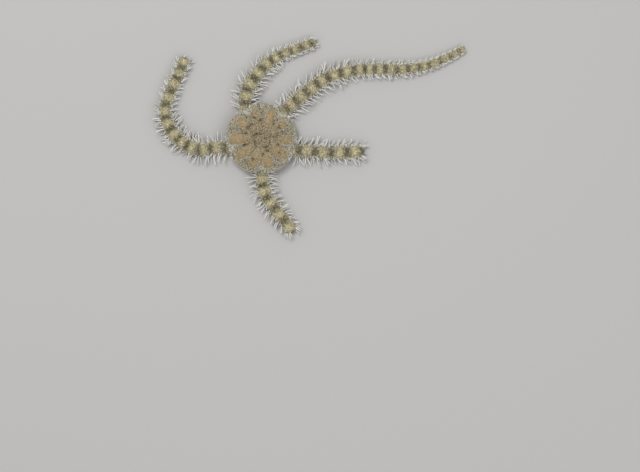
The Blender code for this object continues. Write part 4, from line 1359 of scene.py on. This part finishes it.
# A jaw's side by its distance along the arm's line and its distance beside it, in millimetres.
JAW_SIDE = ((0.62, 0.10), (0.75, 0.15), (1.3, 0.50), (1.9, 0.82), (2.4, 0.70), (2.9, 0.15), (4.1, 0.12))
SIDE_RUN, SIDE_GAP = np.array(JAW_SIDE).T
JAW_ROWS = 40
JAW_COLUMNS = 44
JAW_BULGE = 1.05 * MM
JAW_SLIT_HALF_WIDTH = 0.085 * MM
JAW_SLIT_DEPTH = 0.40 * MM


def jaw_finish():
    """Marks: distance from the mouth's middle as a share, the slit that is painted dark as shade, edge, and a
    tooth's own tone.
    """
    finish = Finish("jaw_bone", 0.38, Subsurface_Weight=0.15, Subsurface_Scale=0.0006)
    out, slit, edge, tone = finish.marks()
    mottle = finish.noise(0.55 * MM, 3.0)
    grain = finish.noise(0.08 * MM, 2.0)
    tip = finish.mix(finish.step(0.35, 0.65, mottle), (0.66, 0.52, 0.32), (0.74, 0.63, 0.44))
    plate = finish.mix(finish.step(0.35, 0.65, mottle), (0.74, 0.73, 0.69), (0.68, 0.62, 0.47))
    colour = finish.mix(finish.step(0.20, 0.50, out), tip, plate)
    colour = finish.mix(edge * 0.35, colour, (0.62, 0.48, 0.26))
    colour = finish.mix(tone * 0.6, colour, (0.72, 0.58, 0.36))
    # Painted shade: the slit down each jaw goes near black.
    colour = finish.mix(slit, colour, (0.05, 0.035, 0.025))
    return finish.paint(colour, grain, 0.02 * MM)


def jaw_surface(row_share, turn, bearing):
    """Points of a jaw between the lines of two arms. A row joins the same distance on both sides and bows
    outwards by the square of its share. Round each row the underside is a flattened arch with a slit in it,
    and the upper face is flat."""
    run, beside = SIDE_RUN * MM, SIDE_GAP * MM
    along = run[0] + (run[-1] - run[0]) * row_share
    gap = np.interp(along, run, beside)
    half = SECTOR / 2
    # The side's place as a distance out along the jaw's own line and one across it.
    out_side = along * math.cos(half) + gap * math.sin(half)
    across_side = along * math.sin(half) - gap * math.cos(half)
    across = np.cos(turn)
    under = np.sin(turn) < 0
    out = out_side + JAW_BULGE * row_share**2 * (1 - across**2)
    arch = np.abs(np.sin(turn)) ** 0.45
    tip = eased(0.25, 0.0, row_share)
    bottom = JAW_BOTTOM + 0.55 * MM * tip + 0.12 * MM * eased(0.5, 1.0, row_share)
    below = JAW_MIDDLE - (JAW_MIDDLE - bottom) * arch
    above = JAW_MIDDLE + (JAW_TOP - JAW_MIDDLE) * arch
    x = across * across_side
    slit = np.exp(-((x / JAW_SLIT_HALF_WIDTH) ** 2)) * eased(1.55, 1.75, out / MM)
    slit = slit * eased(2.75, 2.45, out / MM) * under
    z = np.where(under, below, above) + JAW_SLIT_DEPTH * slit
    line, aside = out_and_aside(bearing)
    place = out[..., None] * line + x[..., None] * aside + z[..., None] * UP
    return place + DISC_MIDDLE, slit, out, 1 - arch


def flat_spot(point):
    """A place on the underside's island of the disc's unwrap, by where it lies on the table."""
    flat = (point[..., :2] - DISC_MIDDLE[:2]) / (2.4 * DISC_RADIUS)
    return flat + np.array([0.75, 0.5])


jaw_bone = jaw_finish()
row_share, turn = np.meshgrid(
    np.linspace(0, 1, JAW_ROWS), np.linspace(0, math.tau, JAW_COLUMNS, endpoint=False), indexing="ij"
)
# The columns crowd at a jaw's two sides, where its section turns most.
turn = turn - 0.28 * np.sin(2 * turn)
for number, sac in enumerate(SACS):
    points, slit, out, edge = jaw_surface(row_share, turn, sac)
    marks = marks_of(out / (6 * MM), slit, eased(0.3, 0.9, edge) * (turn > np.pi), 0)
    points, marks = closed(points, marks)
    faces, atlas = tube(JAW_ROWS, JAW_COLUMNS)
    jaw = solid(f"jaw_plate_{number + 1}", points, faces, marks, atlas, jaw_bone, "jaw_plates")
    middle = points[:, :2].mean(axis=0)
    off = [np.linalg.norm(np.mean(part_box(f"jaw_{k}"), axis=0)[:2] - middle) for k in range(1, 6)]
    nearest = 1 + int(np.argmin(off))
    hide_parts(f"jaw_{nearest}")


# The lining of the mouth, brown soft skin that swells into a petal between every two jaws, with a painted
# shadow at its inner end between the jaws' tips, and the shields and scales round the jaws: thin white plates
# that close the underside up to the arms, with rows of blunt little teeth along the gaps.
PETAL_ROWS = 26
PETAL_COLUMNS = 28
LINING_START = 0.50 * MM
LINING_LENGTH = 2.45 * MM
LINING_HEIGHT = 1.42 * MM
LINING_SWELL = 0.62 * MM
CREASE_DEPTH = 0.16 * MM
MOUTH_PLATE_SCALE = 1.07
# A mouth plate's rings: share of its half-width, and share of its thickness.
MOUTH_PLATE_RINGS = ((0.9, -1.0), (1.0, -0.3), (1.0, 0.2), (0.94, 0.58), (0.78, 0.82), (0.45, 0.95))
TOOTH_PITCH = 0.21
TOOTH_RADIUS = 0.085 * MM
TOOTH_SUNK = 0.06 * MM


def lining_finish():
    """Marks: distance from the mouth's middle as a share, how near the petal's edge, and two unused."""
    finish = Finish("mouth_lining", 0.35)
    out, edge, _, _ = finish.marks()
    mottle = finish.noise(0.35 * MM, 3.0)
    grain = finish.noise(0.07 * MM, 2.0)
    brown = finish.mix(finish.step(0.3, 0.7, mottle), (0.24, 0.105, 0.022), (0.36, 0.18, 0.045))
    ochre = finish.mix(finish.step(0.3, 0.7, mottle), (0.50, 0.32, 0.11), (0.62, 0.44, 0.20))
    colour = finish.mix(finish.step(0.45, 0.95, out + 0.3 * (mottle - 0.5)), brown, ochre)
    colour = finish.mix(edge * 0.5, colour, (0.62, 0.46, 0.22))
    # Painted shadow: the petal's inner end goes near black, for the shadow between the jaws' tips.
    colour = finish.mix(finish.step(0.30, 0.10, out), colour, (0.03, 0.018, 0.01))
    return finish.paint(colour, grain, 0.02 * MM)


share, turn = np.meshgrid(
    np.linspace(0.03, 0.97, PETAL_ROWS),
    np.linspace(0, math.tau, PETAL_COLUMNS, endpoint=False),
    indexing="ij",
)
out = LINING_START + LINING_LENGTH * share
half = (np.interp(out, SIDE_RUN * MM, SIDE_GAP * MM) + 0.16 * MM) * np.sin(np.pi * share) ** 0.35
crease = CREASE_DEPTH * np.exp(-((np.cos(turn) / 0.25) ** 2)) * (np.sin(turn) < 0)
height = LINING_HEIGHT + np.sin(turn) * LINING_SWELL * np.sin(np.pi * share) ** 0.4 + crease
parts = []
for arm in ARMS:
    line, aside = out_and_aside(math.radians(arm.bearing))
    points = out[..., None] * line + (half * np.cos(turn))[..., None] * aside + height[..., None] * UP
    marks = marks_of(share, np.abs(np.cos(turn)) ** 3, 0, 0)
    points, marks = closed(points + DISC_MIDDLE, marks)
    parts.append((points, marks, flat_spot(points)))
faces, _ = tube(PETAL_ROWS, PETAL_COLUMNS)
solid("mouth_lining", *joined(parts, faces), lining_finish(), "jaw_plates")

# Every plate has a bearing, a distance out, a half-length outwards, a half-width, a height over the table,
# a thickness and a turn, in degrees and millimetres.
plates = []
for sac in SACS:
    middle = math.degrees(sac)
    plates.append((middle, 3.85, 0.92, 1.10, 0.40, 0.22, 0))
    for way in (-1, 1):
        plates.append((middle + way * 20, 3.45, 1.00, 0.40, 0.42, 0.20, way * 24))
        plates.append((middle + way * 12, 2.72, 0.40, 0.34, 0.42, 0.16, way * 14))
for arm in ARMS:
    plates.append((arm.bearing, 3.15, 0.34, 0.44, 0.40, 0.24, 0))
    plates.append((arm.bearing, 3.84, 0.38, 0.66, 0.33, 0.24, 0))
    plates.append((arm.bearing, 4.50, 0.36, 0.72, 0.30, 0.22, 0))
    for way in (-1, 1):
        plates.append((arm.bearing + way * 13.5, 4.20, 0.62, 0.42, 0.50, 0.26, way * -10))
bearing, out, length, width, height, thick, skew = np.array(plates).T
bearing, skew = np.radians(bearing), np.radians(skew)
place = np.stack([out * np.cos(bearing), out * np.sin(bearing), height], axis=-1) * MM + DISC_MIDDLE
forward, aside = out_and_aside(bearing + skew)
length, width, thick = length[:, None], width[:, None], thick[:, None]
axes = [forward * length * MOUTH_PLATE_SCALE * MM, aside * width * MOUTH_PLATE_SCALE * MM, -UP * thick * MM]
mouth_plate_shape = pebble(32, MOUTH_PLATE_RINGS, 2.9)
axes = np.stack(axes, axis=1)
points, faces, atlas = copies(mouth_plate_shape, place, axes, flat_spot(place), MOUTH_PATCH)
marks = marks_of(np.full(len(points), 0.8), 0, 0, 0)
solid("mouth_shields", points, faces, marks, atlas, jaw_bone, "jaw_plates")

# The teeth: a row down each side of every jaw, and a few at its tip.
chance = np.random.default_rng(53)
roots, ways = [], []
for sac in SACS:
    for way in (-1, 1):
        along = np.arange(0.85, 2.75, TOOTH_PITCH) + chance.uniform(-0.03, 0.03, 10)
        gap = np.interp(along, SIDE_RUN, SIDE_GAP) + 0.06
        forward, left = out_and_aside(sac + way * SECTOR / 2)
        inward = left * way
        roots.append(along[:, None] * forward - gap[:, None] * inward + 0.74 * UP)
        ways.append(0.75 * inward - 0.45 * UP + 0.25 * chance.normal(0, 1, (len(along), 3)))
    tips = chance.uniform(-1, 1, 5)
    forward, aside = out_and_aside(sac)
    roots.append(0.66 * forward + 0.13 * tips[:, None] * aside + np.linspace(0.75, 1.5, 5)[:, None] * UP)
    ways.append(-forward - 0.25 * UP + 0.20 * chance.normal(0, 1, (5, 3)))
roots = np.concatenate(roots) * MM + DISC_MIDDLE
ways = unit(np.concatenate(ways))
lengths = chance.uniform(0.26, 0.36, len(roots)) * MM
points, faces = rods(roots - TOOTH_SUNK * ways, ways, lengths, np.full(len(roots), TOOTH_RADIUS), 0 * ways)
tone = np.repeat(chance.uniform(0, 1, len(roots)), len(ROD_REACH))
marks = marks_of(0.3, 0, 0, tone)
solid("mouth_teeth", points, faces, marks, rod_atlas(faces, flat_spot(roots)), jaw_bone, "jaw_plates")


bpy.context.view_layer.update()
